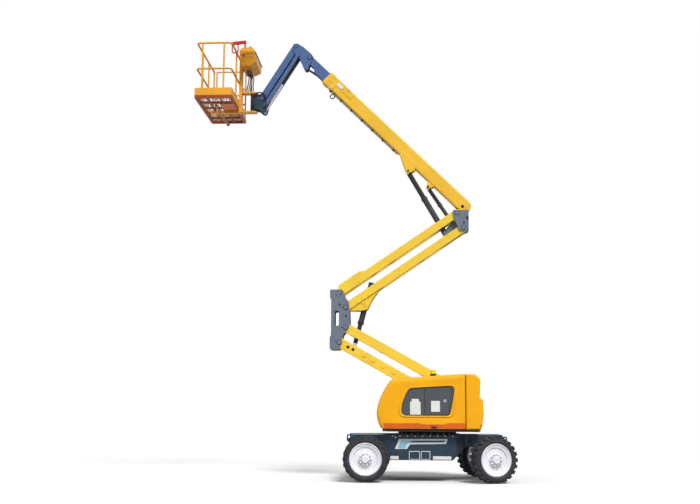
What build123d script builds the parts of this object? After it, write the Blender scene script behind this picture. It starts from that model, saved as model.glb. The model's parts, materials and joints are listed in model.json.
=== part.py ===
import os
from math import atan2, cos, degrees, hypot, radians, sin
from build123d import *

# Articulating boom lift, in millimetres, in the pose of the photo.
# X runs to the right of the photo, towards the steered axle, and Z runs up from the ground.
# The origin lies on the ground, on the axis that the turntable swings about.

# Ground and wheels
tyre_radius = 420
tyre_width = 300
rim_radius = 300
rim_dish_radius = 226
lug_height = 22
lug_count = 22
wheel_track = 2000
fixed_axle_x = -1150
kingpin_x = 1120
kingpin_y = 790
steer_angle = 20
axle_beam = 170

# Chassis
chassis_bottom = 395
chassis_top = 860
chassis_left = -1440
chassis_right = 1400
chassis_half_width = 780
chassis_nose_half_width = 560
chassis_wall = 12
lug_plate = 30
lug_hole_radius = 25
slew_radius = 560
slew_height = 60

# Turntable, hoods and counterweight
base_plate = 42
hood_inside = 236
hood_half_width = 1000
hood_left = -960
hood_right = 690
hood_top_left = 1880
hood_top_right = 1990
hood_wall = 8
hood_gap = 12
weight_right = 1030
beacon_x = 110
beacon_y = -640
beacon_radius = 64
weight_top = 1980
weight_round = 34
hood_round = 70

# Riser linkage
riser_length = 2780
upper_riser_length = 2810
lower_slope = 29.2
upper_slope = 34.2
riser_pin_x = 720
riser_pin_z = 1262
link_pin_dx = 122
link_pin_dz = 298
mid_gap = 392
arm_depth = 190
link_depth = 172
upper_arm_depth = 150
bar_wall = 8
bar_inside = 112
bar_width = 62
upright_plate = 20
pin_radius = 27
side_gap = 8

# Main boom, fly and cylinders
boom_slope = 44.4
boom_depth = 262
boom_width = 196
boom_wall = 8
boom_length = 3760
boom_tail = 150
boom_pivot_dx = 112
boom_pivot_dz = 142
boom_axis_drop = 34
fly_depth = 216
fly_width = 150
fly_wall = 8
fly_stick_out = 705
fly_inside = 3000
collar_length = 95
collar_edge = 14
bracket_lap = 8
pad_gap = 0.4
lift_base_dx = -336
lift_base_dz = -549
lift_eye_along = 1288
lift_eye_below = 132
master_share = 0.6
master_eye_below = 90
master_barrel_length = 500
master_rod_length = 590
lift_barrel_radius = 57
lift_rod_radius = 39
lift_barrel_length = 860
lift_rod_length = 960
master_barrel_radius = 38
master_rod_radius = 27
riser_barrel_radius = 56
riser_rod_radius = 36
trunnion_along = 344
trunnion_below = 172
riser_barrel_above = 470
riser_barrel_below = 380
riser_rod_length = 960
riser_eye_along = 295
riser_eye_above = 25
eye_half_width = 40

# Head, jib and platform
jib_length = 1250
jib_slope = 58
jib_pin_gap = 196
jib_depth = 126
jib_width = 150
jib_bar_depth = 66
jib_bar_width = 40
jib_low_dx = 55
head_plate = 18
head_pivot_along = 650
head_pivot_above = 40
jib_pin_dx = -283
jib_pin_dz = 256
slave_pin_dx = -60
slave_pin_dz = -200
slave_base_along = -900
slave_base_below = 40
slave_barrel_radius = 36
slave_rod_radius = 22
slave_barrel_length = 400
slave_rod_length = 630
jib_wall = 20
jib_base_dx = 95
jib_base_dz = -161
jib_eye_dx = 33
jib_eye_dz = -312
jib_barrel_radius = 36
jib_rod_radius = 24
jib_barrel_share = 0.515
jib_rod_share = 0.555
rotator_dx = -190
rotator_radius = 78
rotator_bottom = -300
rotator_top = 70
platform_gap = 250
column_width = 60
platform_drop = 284
deck_plate = 10
beam_width = 50
toe_wall = 5
gate_offset = 74
gate_lift = 12
console_depth = 320
console_half_length = 465
console_undercut = 122
console_bottom = 570
console_height = 344
guard_y = -420
rail_bend = 80
platform_length = 1830
platform_depth = 740
floor_height = 64
rail_height = 1100
rail_radius = 19
toe_height = 150

# Clearances that the moving pieces keep
running = 0.5
clear = 8


def away(point, distance, angle):
    # a point in the XZ plane, at a distance and an angle from another one
    return (point[0] + distance * cos(radians(angle)), point[1] + distance * sin(radians(angle)))


def shifted(point, dx, dz):
    return (point[0] + dx, point[1] + dz)


def side(point, angle, y):
    # a plane seen from the photo's side: its x runs along the angle, and it extrudes towards -Y
    run = (cos(radians(angle)), 0, sin(radians(angle)))
    return Plane(origin=(point[0], y, point[1]), x_dir=run, z_dir=(0, -1, 0))


def across(point, angle, y=0):
    # a plane square to a member that runs along the angle
    run = (cos(radians(angle)), 0, sin(radians(angle)))
    return Plane(origin=(point[0], y, point[1]), x_dir=(0, 1, 0), z_dir=run)


def slab(point, angle, corners, y_from, y_to, mode=Mode.ADD, round_off=0):
    # a plate with a drawn outline, between two Y values
    with BuildSketch(side(point, angle, y_to), mode=Mode.PRIVATE) as outline:
        with BuildLine():
            Polyline(*corners, close=True)
        make_face()
        if round_off:
            fillet(outline.vertices(), round_off)
    extrude(outline.sketch, amount=y_to - y_from, mode=mode)


def disc(point, radius, y_from, y_to, mode=Mode.ADD):
    with BuildSketch(side(point, 0, y_to), mode=Mode.PRIVATE) as outline:
        Circle(radius)
    extrude(outline.sketch, amount=y_to - y_from, mode=mode)


def block(x_from, x_to, y_from, y_to, z_from, z_to, mode=Mode.ADD):
    slab((0, 0), 0, [(x_from, z_from), (x_to, z_from), (x_to, z_to), (x_from, z_to)], y_from, y_to, mode)


def rod(start, end, radius, y=0, mode=Mode.ADD):
    # a round bar between two points of the XZ plane
    slope = degrees(atan2(end[1] - start[1], end[0] - start[0]))
    with BuildSketch(across(start, slope, y), mode=Mode.PRIVATE) as outline:
        Circle(radius)
    extrude(outline.sketch, amount=hypot(end[0] - start[0], end[1] - start[1]), mode=mode)


def rail(start, end, radius, mode=Mode.ADD):
    # a round tube between two points in space
    run = Vector(*end) - Vector(*start)
    with BuildSketch(Plane(origin=start, z_dir=tuple(run)), mode=Mode.PRIVATE) as outline:
        Circle(radius)
    extrude(outline.sketch, amount=run.length, mode=mode)


def bar(start, end, depth, y_from, y_to, mode=Mode.ADD):
    # a flat bar with round ends about two pins
    slope = degrees(atan2(end[1] - start[1], end[0] - start[0]))
    length = hypot(end[0] - start[0], end[1] - start[1])
    with BuildSketch(side(start, slope, y_to), mode=Mode.PRIVATE) as outline:
        with Locations((length / 2, 0)):
            SlotCenterToCenter(length, depth)
    extrude(outline.sketch, amount=y_to - y_from, mode=mode)


def box_tube(point, angle, width, depth, wall, length, corner):
    # a hollow box section that runs from a point along an angle
    with BuildSketch(across(point, angle), mode=Mode.PRIVATE) as outline:
        RectangleRounded(width, depth, corner)
        RectangleRounded(width - 2 * wall, depth - 2 * wall, corner - wall / 2, mode=Mode.SUBTRACT)
    extrude(outline.sketch, amount=length)


os.makedirs("parts", exist_ok=True)

# Pins of the riser linkage, from the turntable up to the boom
lower_arm_pin = (riser_pin_x, riser_pin_z)
lower_link_pin = shifted(lower_arm_pin, link_pin_dx, link_pin_dz)
mid_arm_pin = away(lower_arm_pin, riser_length, 180 - lower_slope)
mid_link_pin = shifted(mid_arm_pin, link_pin_dx, link_pin_dz)
upper_arm_pin = shifted(mid_link_pin, 0, mid_gap)
upper_link_pin = shifted(upper_arm_pin, -link_pin_dx, link_pin_dz)
top_arm_pin = away(upper_arm_pin, upper_riser_length, upper_slope)
top_link_pin = away(upper_link_pin, upper_riser_length, upper_slope)

# Pins of the boom and its cylinders
boom_angle = 180 - boom_slope
below_boom = boom_angle + 90
boom_pivot = shifted(top_link_pin, boom_pivot_dx, boom_pivot_dz)
boom_start = away(boom_pivot, boom_axis_drop, below_boom + 180)
boom_tip = away(boom_start, boom_length, boom_angle)
lift_base = shifted(boom_pivot, lift_base_dx, lift_base_dz)
eye_drop = boom_depth / 2 - boom_axis_drop + lift_eye_below
lift_eye = away(away(boom_pivot, lift_eye_along, boom_angle), eye_drop, below_boom)
# the levelling cylinder is a smaller copy of the lift cylinder's triangle, turned to clear the boom
master_along = lift_eye_along * master_share
master_drop = boom_depth / 2 - boom_axis_drop + master_eye_below
master_eye = away(away(boom_pivot, master_along, boom_angle), master_drop, below_boom)
master_scale = hypot(master_along, master_drop) / hypot(lift_eye_along, eye_drop)
master_turn = degrees(atan2(master_drop, master_along) - atan2(eye_drop, lift_eye_along))
lift_base_angle = degrees(atan2(lift_base_dz, lift_base_dx))
lift_base_reach = hypot(lift_base_dx, lift_base_dz)
master_base = away(boom_pivot, lift_base_reach * master_scale, lift_base_angle + master_turn)
lift_angle = degrees(atan2(lift_eye[1] - lift_base[1], lift_eye[0] - lift_base[0]))
master_angle = degrees(atan2(master_eye[1] - master_base[1], master_eye[0] - master_base[0]))

# Pins of the riser cylinder
arm_angle = -lower_slope
riser_eye = away(away(mid_arm_pin, riser_eye_along, arm_angle), riser_eye_above, arm_angle + 90)
trunnion = away(away(upper_arm_pin, trunnion_along, upper_slope), trunnion_below, upper_slope - 90)
riser_angle = degrees(atan2(riser_eye[1] - trunnion[1], riser_eye[0] - trunnion[0]))

# Pins of the head and the jib
head_pivot = away(away(boom_tip, head_pivot_along, boom_angle), head_pivot_above, below_boom + 180)
slave_pin = shifted(head_pivot, slave_pin_dx, slave_pin_dz)
slave_base = away(away(head_pivot, slave_base_along, boom_angle), slave_base_below, below_boom)
slave_angle = degrees(atan2(slave_pin[1] - slave_base[1], slave_pin[0] - slave_base[0]))
jib_pin = shifted(head_pivot, jib_pin_dx, jib_pin_dz)
jib_low_pin = shifted(jib_pin, jib_low_dx, -jib_pin_gap)
jib_angle = 180 + jib_slope
end_pin = away(jib_pin, jib_length, jib_angle)
end_low_pin = shifted(end_pin, jib_low_dx, -jib_pin_gap)
jib_base = shifted(jib_pin, jib_base_dx, jib_base_dz)
jib_eye = shifted(end_pin, jib_eye_dx, jib_eye_dz)
jib_cyl_angle = degrees(atan2(jib_eye[1] - jib_base[1], jib_eye[0] - jib_base[0]))
jib_cyl_length = hypot(jib_eye[0] - jib_base[0], jib_eye[1] - jib_base[1])
jib_barrel_length = jib_barrel_share * jib_cyl_length
jib_rod_length = jib_rod_share * jib_cyl_length
rotator = shifted(end_pin, rotator_dx, 0)

# Places on the platform
column_right = rotator[0] - platform_gap
floor_right = column_right - column_width - running
floor_left = floor_right - platform_depth
floor_bottom = end_pin[1] - platform_drop
floor_top = floor_bottom + floor_height
half_length = platform_length / 2
rail_inset = toe_wall + running + rail_radius
rail_left = floor_left + rail_inset
rail_right = floor_right - rail_inset
rail_near = -half_length + rail_inset
rail_far = half_length - rail_inset
rail_top = floor_top + rail_height - rail_radius
rail_mid = floor_top + rail_height / 2
gate_x = rail_right - gate_offset
gate_end = rail_left + 60
gate_radius = 16

# Widths of the linkage, from the middle outwards
bar_outside = bar_inside + bar_width
plate_inside = bar_outside + side_gap
plate_outside = plate_inside + upright_plate
knuckle_radius = 62

with BuildPart() as chassis_frame:
    # a welded box, full width up to the steered wheels and narrow between them
    with BuildSketch(Plane.XY.offset(chassis_bottom)) as plan:
        with BuildLine():
            Polyline(
                (chassis_left, -chassis_half_width),
                (520, -chassis_half_width),
                (690, -chassis_nose_half_width),
                (chassis_right, -chassis_nose_half_width),
                (chassis_right, chassis_nose_half_width),
                (690, chassis_nose_half_width),
                (520, chassis_half_width),
                (chassis_left, chassis_half_width),
                close=True,
            )
        make_face()
    extrude(amount=chassis_top - chassis_bottom)
    # the ends rise towards the axles
    cut_y = chassis_half_width + 10
    slab(
        (0, 0),
        0,
        [(450, chassis_bottom - 10), (700, 640), (1500, 640), (1500, chassis_bottom - 10)],
        -cut_y,
        cut_y,
        Mode.SUBTRACT,
    )
    slab(
        (0, 0),
        0,
        [(-720, chassis_bottom - 10), (-860, 620), (-1600, 620), (-1600, chassis_bottom - 10)],
        -cut_y,
        cut_y,
        Mode.SUBTRACT,
    )
    # hollow from below, with one wall between the axles
    block(
        -680, 430, -chassis_half_width + chassis_wall, chassis_half_width - chassis_wall,
        chassis_bottom - 1, chassis_top - 40, Mode.SUBTRACT
    )
    for stiffener_x in (-300, 60):
        block(
            stiffener_x, stiffener_x + chassis_wall, -chassis_half_width + 1, chassis_half_width - 1,
            chassis_bottom + 40, chassis_top - 20
        )
    # window in the side plate by the steered wheel
    for face in (-1, 1):
        near_y = min(face * chassis_nose_half_width, face * (chassis_nose_half_width - 60))
        disc((800, 760), 42, near_y, near_y + 60, Mode.SUBTRACT)
chassis_frame.part.label = "chassis_frame"
export_step(chassis_frame.part, "parts/chassis_frame.step")

with BuildPart() as tie_lugs:
    # plates with a round hole at both ends of the chassis
    for lug_y in (-500, 500):
        slab(
            (chassis_left, 800), 0,
            [(-90, -55), (0.0, -140), (0.0, 60), (-70, 60), (-90, 40)],
            lug_y - lug_plate / 2, lug_y + lug_plate / 2,
        )
        disc((chassis_left - 45, 812), lug_hole_radius, lug_y - lug_plate, lug_y + lug_plate, Mode.SUBTRACT)
        slab(
            (chassis_right, 780), 0,
            [(90, -55), (0.0, -130), (0.0, 50), (70, 50), (90, 30)],
            lug_y - lug_plate / 2, lug_y + lug_plate / 2,
        )
        disc((chassis_right + 45, 780), lug_hole_radius, lug_y - lug_plate, lug_y + lug_plate,
        Mode.SUBTRACT)
tie_lugs.part.label = "tie_lugs"
export_step(tie_lugs.part, "parts/tie_lugs.step")

hub_face = wheel_track / 2 + tyre_width / 2 - 96 - running

with BuildPart() as fixed_axle:
    # one beam under the chassis with a drive at each end
    block(
        fixed_axle_x - axle_beam / 2, fixed_axle_x + axle_beam / 2, -700, 700, tyre_radius - axle_beam / 2,
        tyre_radius + axle_beam / 2
    )
    block(fixed_axle_x - 150, fixed_axle_x + 150, -420, 420, tyre_radius + axle_beam / 2, 620)
    disc((fixed_axle_x, tyre_radius), 130, -hub_face, hub_face)
fixed_axle.part.label = "fixed_axle"
export_step(fixed_axle.part, "parts/fixed_axle.step")

fork_y = kingpin_y - 80

with BuildPart() as steer_axle:
    # a beam that swings under the nose, with a fork at each end for the kingpin
    block(
        kingpin_x - axle_beam / 2, kingpin_x + axle_beam / 2, -fork_y, fork_y, tyre_radius - axle_beam / 2,
        tyre_radius + axle_beam / 2
    )
    block(kingpin_x - 130, kingpin_x + 130, -300, 300, tyre_radius + axle_beam / 2, 640)
    for face in (-1, 1):
        y_from = min(face * (fork_y - 20), face * (kingpin_y + 60))
        y_to = max(face * (fork_y - 20), face * (kingpin_y + 60))
        block(kingpin_x - 62, kingpin_x + 62, y_from, y_to, tyre_radius - 145, tyre_radius - 110)
        block(kingpin_x - 62, kingpin_x + 62, y_from, y_to, tyre_radius + 110, tyre_radius + 145)
        y_from = min(face * (fork_y - 40), face * fork_y)
        block(kingpin_x - 62, kingpin_x + 62, y_from, y_from + 40, tyre_radius - 145, tyre_radius + 145)
steer_axle.part.label = "steer_axle"
export_step(steer_axle.part, "parts/steer_axle.step")


def wheel_axes(x, y, face, turn):
    # the middle of a wheel and the way its outer side looks, after the steering turn
    out = (-face * sin(radians(turn)), face * cos(radians(turn)))
    reach = abs(y) - kingpin_y if turn else 0
    if turn:
        return (x + out[0] * reach, face * kingpin_y + out[1] * reach), out
    return (x, y), out


def spin_profile(x, y, face, turn, corners, mode=Mode.ADD):
    # turns an outline of axial and radial sizes about the wheel's axle
    middle, out = wheel_axes(x, y, face, turn)
    start = (middle[0], middle[1], tyre_radius)
    cross = (out[1], -out[0], 0)
    with BuildSketch(Plane(origin=start, x_dir=(out[0], out[1], 0), z_dir=cross),
    mode=Mode.PRIVATE) as outline:
        with BuildLine():
            Polyline(*corners, close=True)
        make_face()
    revolve(outline.sketch, Axis(start, (out[0], out[1], 0)), mode=mode)


def tyre_shape(x, y, face, turn):
    half = tyre_width / 2
    base = tyre_radius - lug_height
    spin_profile(
        x, y, face, turn,
        [
            (-half + 22, rim_radius), (half - 22, rim_radius), (half, rim_radius + 40),
            (half - 8, base - 26), (half - 34, base), (34 - half, base), (8 - half, base - 26),
            (-half, rim_radius + 40),
        ],
    )
    middle, out = wheel_axes(x, y, face, turn)
    start = (middle[0], middle[1], tyre_radius)
    facing = Plane(origin=start, x_dir=(out[1], -out[0], 0), z_dir=(out[0], out[1], 0))
    for row in (-1, 1):
        pitch = 360 / lug_count
        start_angle = 0 if row > 0 else pitch / 2
        spot = facing.offset(row * (half / 2 + 2) - half / 2 + 8)
        with BuildSketch(spot, mode=Mode.PRIVATE) as lugs:
            with PolarLocations(tyre_radius - lug_height, lug_count, start_angle):
                Rectangle(2 * lug_height, 66)
            Circle(tyre_radius, mode=Mode.INTERSECT)
            Circle(tyre_radius - lug_height - 6, mode=Mode.SUBTRACT)
        extrude(lugs.sketch, amount=half - 16)


def rim_shape(x, y, face, turn):
    half = tyre_width / 2
    edge = rim_radius - running
    spin_profile(
        x, y, face, turn,
        [
            (-half + 30, edge), (half - 24, edge), (half - 24, edge - 26), (half - 34, edge - 34),
            (half - 46, rim_dish_radius), (half - 70, rim_dish_radius - 12), (half - 70, 130),
            (half - 44, 120), (half - 44, 84), (half - 8, 74), (half - 8, 0), (half - 96, 0),
            (half - 96, edge - 60), (-half + 30, edge - 30),
        ],
    )


with BuildPart() as tyre_left_near:
    tyre_shape(fixed_axle_x, -wheel_track / 2, -1, 0)
tyre_left_near.part.label = "tyre_left_near"
export_step(tyre_left_near.part, "parts/tyre_left_near.step")

with BuildPart() as tyre_left_far:
    tyre_shape(fixed_axle_x, wheel_track / 2, 1, 0)
tyre_left_far.part.label = "tyre_left_far"
export_step(tyre_left_far.part, "parts/tyre_left_far.step")

with BuildPart() as tyre_right_near:
    tyre_shape(kingpin_x, -wheel_track / 2, -1, steer_angle)
tyre_right_near.part.label = "tyre_right_near"
export_step(tyre_right_near.part, "parts/tyre_right_near.step")

with BuildPart() as tyre_right_far:
    tyre_shape(kingpin_x, wheel_track / 2, 1, steer_angle)
tyre_right_far.part.label = "tyre_right_far"
export_step(tyre_right_far.part, "parts/tyre_right_far.step")

with BuildPart() as rim_left_near:
    rim_shape(fixed_axle_x, -wheel_track / 2, -1, 0)
rim_left_near.part.label = "rim_left_near"
export_step(rim_left_near.part, "parts/rim_left_near.step")

with BuildPart() as rim_left_far:
    rim_shape(fixed_axle_x, wheel_track / 2, 1, 0)
rim_left_far.part.label = "rim_left_far"
export_step(rim_left_far.part, "parts/rim_left_far.step")

with BuildPart() as rim_right_near:
    rim_shape(kingpin_x, -wheel_track / 2, -1, steer_angle)
rim_right_near.part.label = "rim_right_near"
export_step(rim_right_near.part, "parts/rim_right_near.step")

with BuildPart() as rim_right_far:
    rim_shape(kingpin_x, wheel_track / 2, 1, steer_angle)
rim_right_far.part.label = "rim_right_far"
export_step(rim_right_far.part, "parts/rim_right_far.step")


def knuckle_shape(face):
    # a block on the kingpin, with a short axle out to the wheel
    out = (-face * sin(radians(steer_angle)), face * cos(radians(steer_angle)))
    reach = wheel_track / 2 - kingpin_y
    with BuildSketch(Plane.XY.offset(tyre_radius - 110 + running), mode=Mode.PRIVATE) as post:
        with Locations((kingpin_x, face * kingpin_y)):
            Circle(knuckle_radius)
    extrude(post.sketch, amount=220 - 2 * running)
    start = (kingpin_x, face * kingpin_y, tyre_radius)
    with BuildSketch(Plane(origin=start, z_dir=(out[0], out[1], 0)), mode=Mode.PRIVATE) as stub:
        Circle(78)
    extrude(stub.sketch, amount=reach + tyre_width / 2 - 96 - running)


with BuildPart() as knuckle_near:
    knuckle_shape(-1)
knuckle_near.part.label = "knuckle_near"
export_step(knuckle_near.part, "parts/knuckle_near.step")

with BuildPart() as knuckle_far:
    knuckle_shape(1)
knuckle_far.part.label = "knuckle_far"
export_step(knuckle_far.part, "parts/knuckle_far.step")

swing_level = chassis_top + slew_height
deck_bottom = swing_level + running
deck_top = deck_bottom + base_plate
shoulder_x = hood_left + 340
shoulder_z = hood_top_left + 15
roof_rise = (hood_top_right - shoulder_z) / (hood_right - shoulder_x)
beacon_foot = shoulder_z + (beacon_x + beacon_radius - shoulder_x) * roof_rise + running

with BuildPart() as slew_ring:
    with BuildSketch(Plane.XY.offset(chassis_top)):
        Circle(slew_radius)
        Circle(slew_radius - 130, mode=Mode.SUBTRACT)
    extrude(amount=slew_height)
slew_ring.part.label = "slew_ring"
export_step(slew_ring.part, "parts/slew_ring.step")


def riser_cheek(face):
    """One tall cheek plate on the deck, with the pin stubs of the riser and the posts of a hood's hinge."""
    y_from = min(face * plate_inside, face * plate_outside)
    slab(
        (0, 0), 0,
        [
            (hood_left + 150, deck_top), (hood_left + 150, deck_top + 70), (-200, deck_top + 150),
            (lower_arm_pin[0] - 150, lower_arm_pin[1] + 120), (lower_link_pin[0] - 80,
            lower_link_pin[1] + 90),
            (lower_link_pin[0] + 70, lower_link_pin[1] + 90), (lower_link_pin[0] + 100, lower_link_pin[1]),
            (lower_link_pin[0] + 80, deck_top),
        ],
        y_from, y_from + upright_plate,
    )
    y_from = min(face * bar_inside, face * (plate_inside + 1))
    y_to = max(face * bar_inside, face * (plate_inside + 1))
    disc(lower_arm_pin, pin_radius, y_from, y_to)
    disc(lower_link_pin, pin_radius, y_from, y_to)
    y_from = min(face * (plate_outside - 1), face * (hood_inside - running))
    y_to = max(face * (plate_outside - 1), face * (hood_inside - running))
    for post_x in (shoulder_x + 120, hood_right - 150):
        post_top = shoulder_z + (post_x - shoulder_x) * roof_rise - 1
        block(post_x, post_x + 60, y_from, y_to, deck_top, post_top)


with BuildPart() as turntable_frame:
    # a deck plate, with an upright plate that ties the cheeks behind the arms
    with BuildSketch(Plane.XY.offset(deck_bottom)):
        with BuildLine():
            Polyline(
                (hood_left + 110, -700), (hood_left + 250, -hood_half_width + 30), (930,
                -hood_half_width + 30),
                (weight_right - 50, -700), (weight_right - 50, 700), (930, hood_half_width - 30),
                (hood_left + 250, hood_half_width - 30), (hood_left + 110, 700), close=True
            )
        make_face()
    extrude(amount=base_plate)
    tie_x = lower_link_pin[0] + 78
    block(tie_x - 18, tie_x, -plate_inside, plate_inside, deck_top - 1, lower_arm_pin[1])
turntable_frame.part.label = "turntable_frame"
export_step(turntable_frame.part, "parts/turntable_frame.step")

with BuildPart() as cheek_near:
    riser_cheek(-1)
cheek_near.part.label = "cheek_near"
export_step(cheek_near.part, "parts/cheek_near.step")

with BuildPart() as cheek_far:
    riser_cheek(1)
cheek_far.part.label = "cheek_far"
export_step(cheek_far.part, "parts/cheek_far.step")

weight_left = hood_right + hood_gap

with BuildPart() as counterweight:
    slab(
        (0, 0), 0,
        [
            (weight_left, deck_top), (weight_right - 45, deck_top), (weight_right, 1230),
            (weight_right - 10, 1500),
            (weight_right - 70, 1560), (weight_right - 55, weight_top - 100), (weight_right - 110,
            weight_top - 32),
            (weight_right - 160, weight_top), (weight_left, weight_top),
        ],
        -hood_half_width, hood_half_width,
    )
    fillet(counterweight.edges().filter_by(Axis.Y, reverse=True).group_by(Axis.Y)[0], weight_round)
    fillet(counterweight.edges().filter_by(Axis.Y, reverse=True).group_by(Axis.Y)[-1], weight_round)
    notch = plate_outside + clear
    block(weight_left - 1, lower_link_pin[0] + 108, -notch, notch, deck_top - 1, weight_top + 1,
    Mode.SUBTRACT)
    # the stowed upright comes down between its two halves
    block(weight_left - 1, weight_right + 1, -notch, notch, lower_link_pin[1] - 80, weight_top + 1,
    Mode.SUBTRACT)
    # a step in the lower right corner of each half
    for face in (-1, 1):
        y_from = min(face * (hood_half_width - 60), face * (hood_half_width + 1))
        block(weight_right - 70, weight_right + 1, y_from, y_from + 61, deck_top - 1, deck_top + 90,
        Mode.SUBTRACT)
counterweight.part.label = "counterweight"
export_step(counterweight.part, "parts/counterweight.step")

with BuildPart() as engine_block:
    engine_from = hood_inside + 94
    engine_to = hood_half_width - 140
    block(-520, 420, engine_from, engine_to, deck_top, 1560)
    block(-360, 120, engine_from + 90, engine_to - 100, 1560, 1660)
engine_block.part.label = "engine_block"
export_step(engine_block.part, "parts/engine_block.step")

hood_bottom = deck_top + clear
hood_outline = [
    (hood_left + 100, hood_bottom), (hood_left + 40, hood_bottom + 90), (hood_left, 1260),
    (hood_left + 20, 1400),
    (hood_left + 110, 1640), (hood_left + 190, hood_top_left - 90), (hood_left + 255, hood_top_left - 15),
    (shoulder_x, shoulder_z), (hood_right, hood_top_right), (hood_right, hood_bottom),
]
window_outline = [
    (-340, 1712), (430, 1758), (488, 1722), (470, 1535), (400, 1215), (-430, 1215), (-490, 1265), (-480,
    1410),
    (-410, 1590),
]


def hood_shape(face):
    # a thin shell, open below and towards the riser, with its window cut out
    y_from = min(face * hood_inside, face * hood_half_width)
    slab((0, 0), 0, hood_outline, y_from, y_from + hood_half_width - hood_inside)


def hood_hollow(face):
    with BuildSketch(side((0, 0), 0, face * hood_half_width - face * hood_wall),
    mode=Mode.PRIVATE) as inner:
        with BuildLine():
            Polyline(*hood_outline, close=True)
        make_face()
        offset(amount=-hood_wall)
        with Locations((0, hood_bottom + 20)):
            Rectangle(hood_right - hood_left - 220, 80)
    extrude(inner.sketch, amount=face * (hood_half_width - hood_inside), mode=Mode.SUBTRACT)
    y_from = min(face * (hood_half_width - 60), face * (hood_half_width + 10))
    slab((0, 0), 0, window_outline, y_from, y_from + 70, Mode.SUBTRACT)


with BuildPart() as hood_near:
    hood_shape(-1)
    fillet(hood_near.edges().group_by(Axis.Y)[0].sort_by(Axis.Z)[1:], hood_round)
    hood_hollow(-1)
hood_near.part.label = "hood_near"
export_step(hood_near.part, "parts/hood_near.step")

with BuildPart() as hood_far:
    hood_shape(1)
    fillet(hood_far.edges().group_by(Axis.Y)[-1].sort_by(Axis.Z)[1:], hood_round)
    hood_hollow(1)
hood_far.part.label = "hood_far"
export_step(hood_far.part, "parts/hood_far.step")


def window_shape(face):
    # a dark panel behind the window, larger than the hole all round
    y_back = hood_half_width - hood_wall - running
    with BuildSketch(side((0, 0), 0, face * y_back), mode=Mode.PRIVATE) as pane:
        with BuildLine():
            Polyline(*window_outline, close=True)
        make_face()
        offset(amount=24)
    extrude(pane.sketch, amount=face * 12)


with BuildPart() as panel_near:
    window_shape(-1)
panel_near.part.label = "panel_near"
export_step(panel_near.part, "parts/panel_near.step")

with BuildPart() as panel_far:
    window_shape(1)
panel_far.part.label = "panel_far"
export_step(panel_far.part, "parts/panel_far.step")

with BuildPart() as beacon:
    # a lamp on a black foot on the hood
    with BuildSketch(Plane(origin=(beacon_x, beacon_y, beacon_foot))):
        Circle(beacon_radius - 6)
    extrude(amount=46)
    with BuildSketch(Plane(origin=(beacon_x, beacon_y, beacon_foot + 46))):
        Circle(beacon_radius)
    extrude(amount=80, taper=5)
beacon.part.label = "beacon"
export_step(beacon.part, "parts/beacon.step")


def twin_bars(start, end, depth, cross_at, cross_radius):
    # two flat box bars side by side on the same pins, tied by round cross tubes
    length = hypot(end[0] - start[0], end[1] - start[1])
    slope = degrees(atan2(end[1] - start[1], end[0] - start[0]))
    for face in (-1, 1):
        y_from = min(face * bar_inside, face * bar_outside)
        bar(start, end, depth, y_from, y_from + bar_width)
        with BuildSketch(across(away(start, depth, slope), slope, y_from + bar_width / 2),
        mode=Mode.PRIVATE) as hollow:
            Rectangle(bar_width - 2 * bar_wall, depth - 2 * bar_wall)
        extrude(hollow.sketch, amount=length - 2 * depth, mode=Mode.SUBTRACT)
        disc(start, pin_radius + running, y_from - 1, y_from + bar_width + 1, Mode.SUBTRACT)
        disc(end, pin_radius + running, y_from - 1, y_from + bar_width + 1, Mode.SUBTRACT)
    for share in cross_at:
        disc(away(start, length * share, slope), cross_radius, -bar_inside - 1, bar_inside + 1)


with BuildPart() as lower_arm:
    twin_bars(mid_arm_pin, lower_arm_pin, arm_depth, (0.3, 0.62), 46)
    # stubs that hold the eye of the riser cylinder
    for face in (-1, 1):
        y_from = min(face * (eye_half_width + 2), face * (bar_inside + 1))
        y_to = max(face * (eye_half_width + 2), face * (bar_inside + 1))
        disc(riser_eye, 26, y_from, y_to)
lower_arm.part.label = "lower_arm"
export_step(lower_arm.part, "parts/lower_arm.step")

with BuildPart() as lower_link:
    twin_bars(mid_link_pin, lower_link_pin, link_depth, (0.3, 0.62), 40)
lower_link.part.label = "lower_link"
export_step(lower_link.part, "parts/lower_link.step")

with BuildPart() as upper_arm:
    twin_bars(upper_arm_pin, top_arm_pin, upper_arm_depth, (0.3, 0.66), 40)
    # plates under the left end that carry the trunnion of the riser cylinder
    for face in (-1, 1):
        y_from = min(face * bar_inside, face * (bar_inside + 30))
        slab(
            upper_arm_pin, 0,
            [(40, 20), (350, 260), (560, 370), (640, 330), (500, 130), (430, -30), (340, -60), (60, -60)],
            y_from, y_from + 30,
        )
        disc(trunnion, pin_radius + running, y_from - 1, y_from + 31, Mode.SUBTRACT)
        disc(upper_arm_pin, pin_radius + running, y_from - 1, y_from + 31, Mode.SUBTRACT)
upper_arm.part.label = "upper_arm"
export_step(upper_arm.part, "parts/upper_arm.step")

with BuildPart() as upper_link:
    twin_bars(upper_link_pin, top_link_pin, upper_arm_depth, (0.3, 0.46), 36)
    # raised cover on top of the left end
    top_edge = upper_arm_depth / 2
    for face in (-1, 1):
        y_from = min(face * bar_inside, face * bar_outside)
        slab(
            upper_link_pin, upper_slope,
            [(10, top_edge - 4), (60, top_edge + 52), (560, top_edge + 52), (640, top_edge - 4)],
            y_from, y_from + bar_width,
        )
upper_link.part.label = "upper_link"
export_step(upper_link.part, "parts/upper_link.step")

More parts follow.
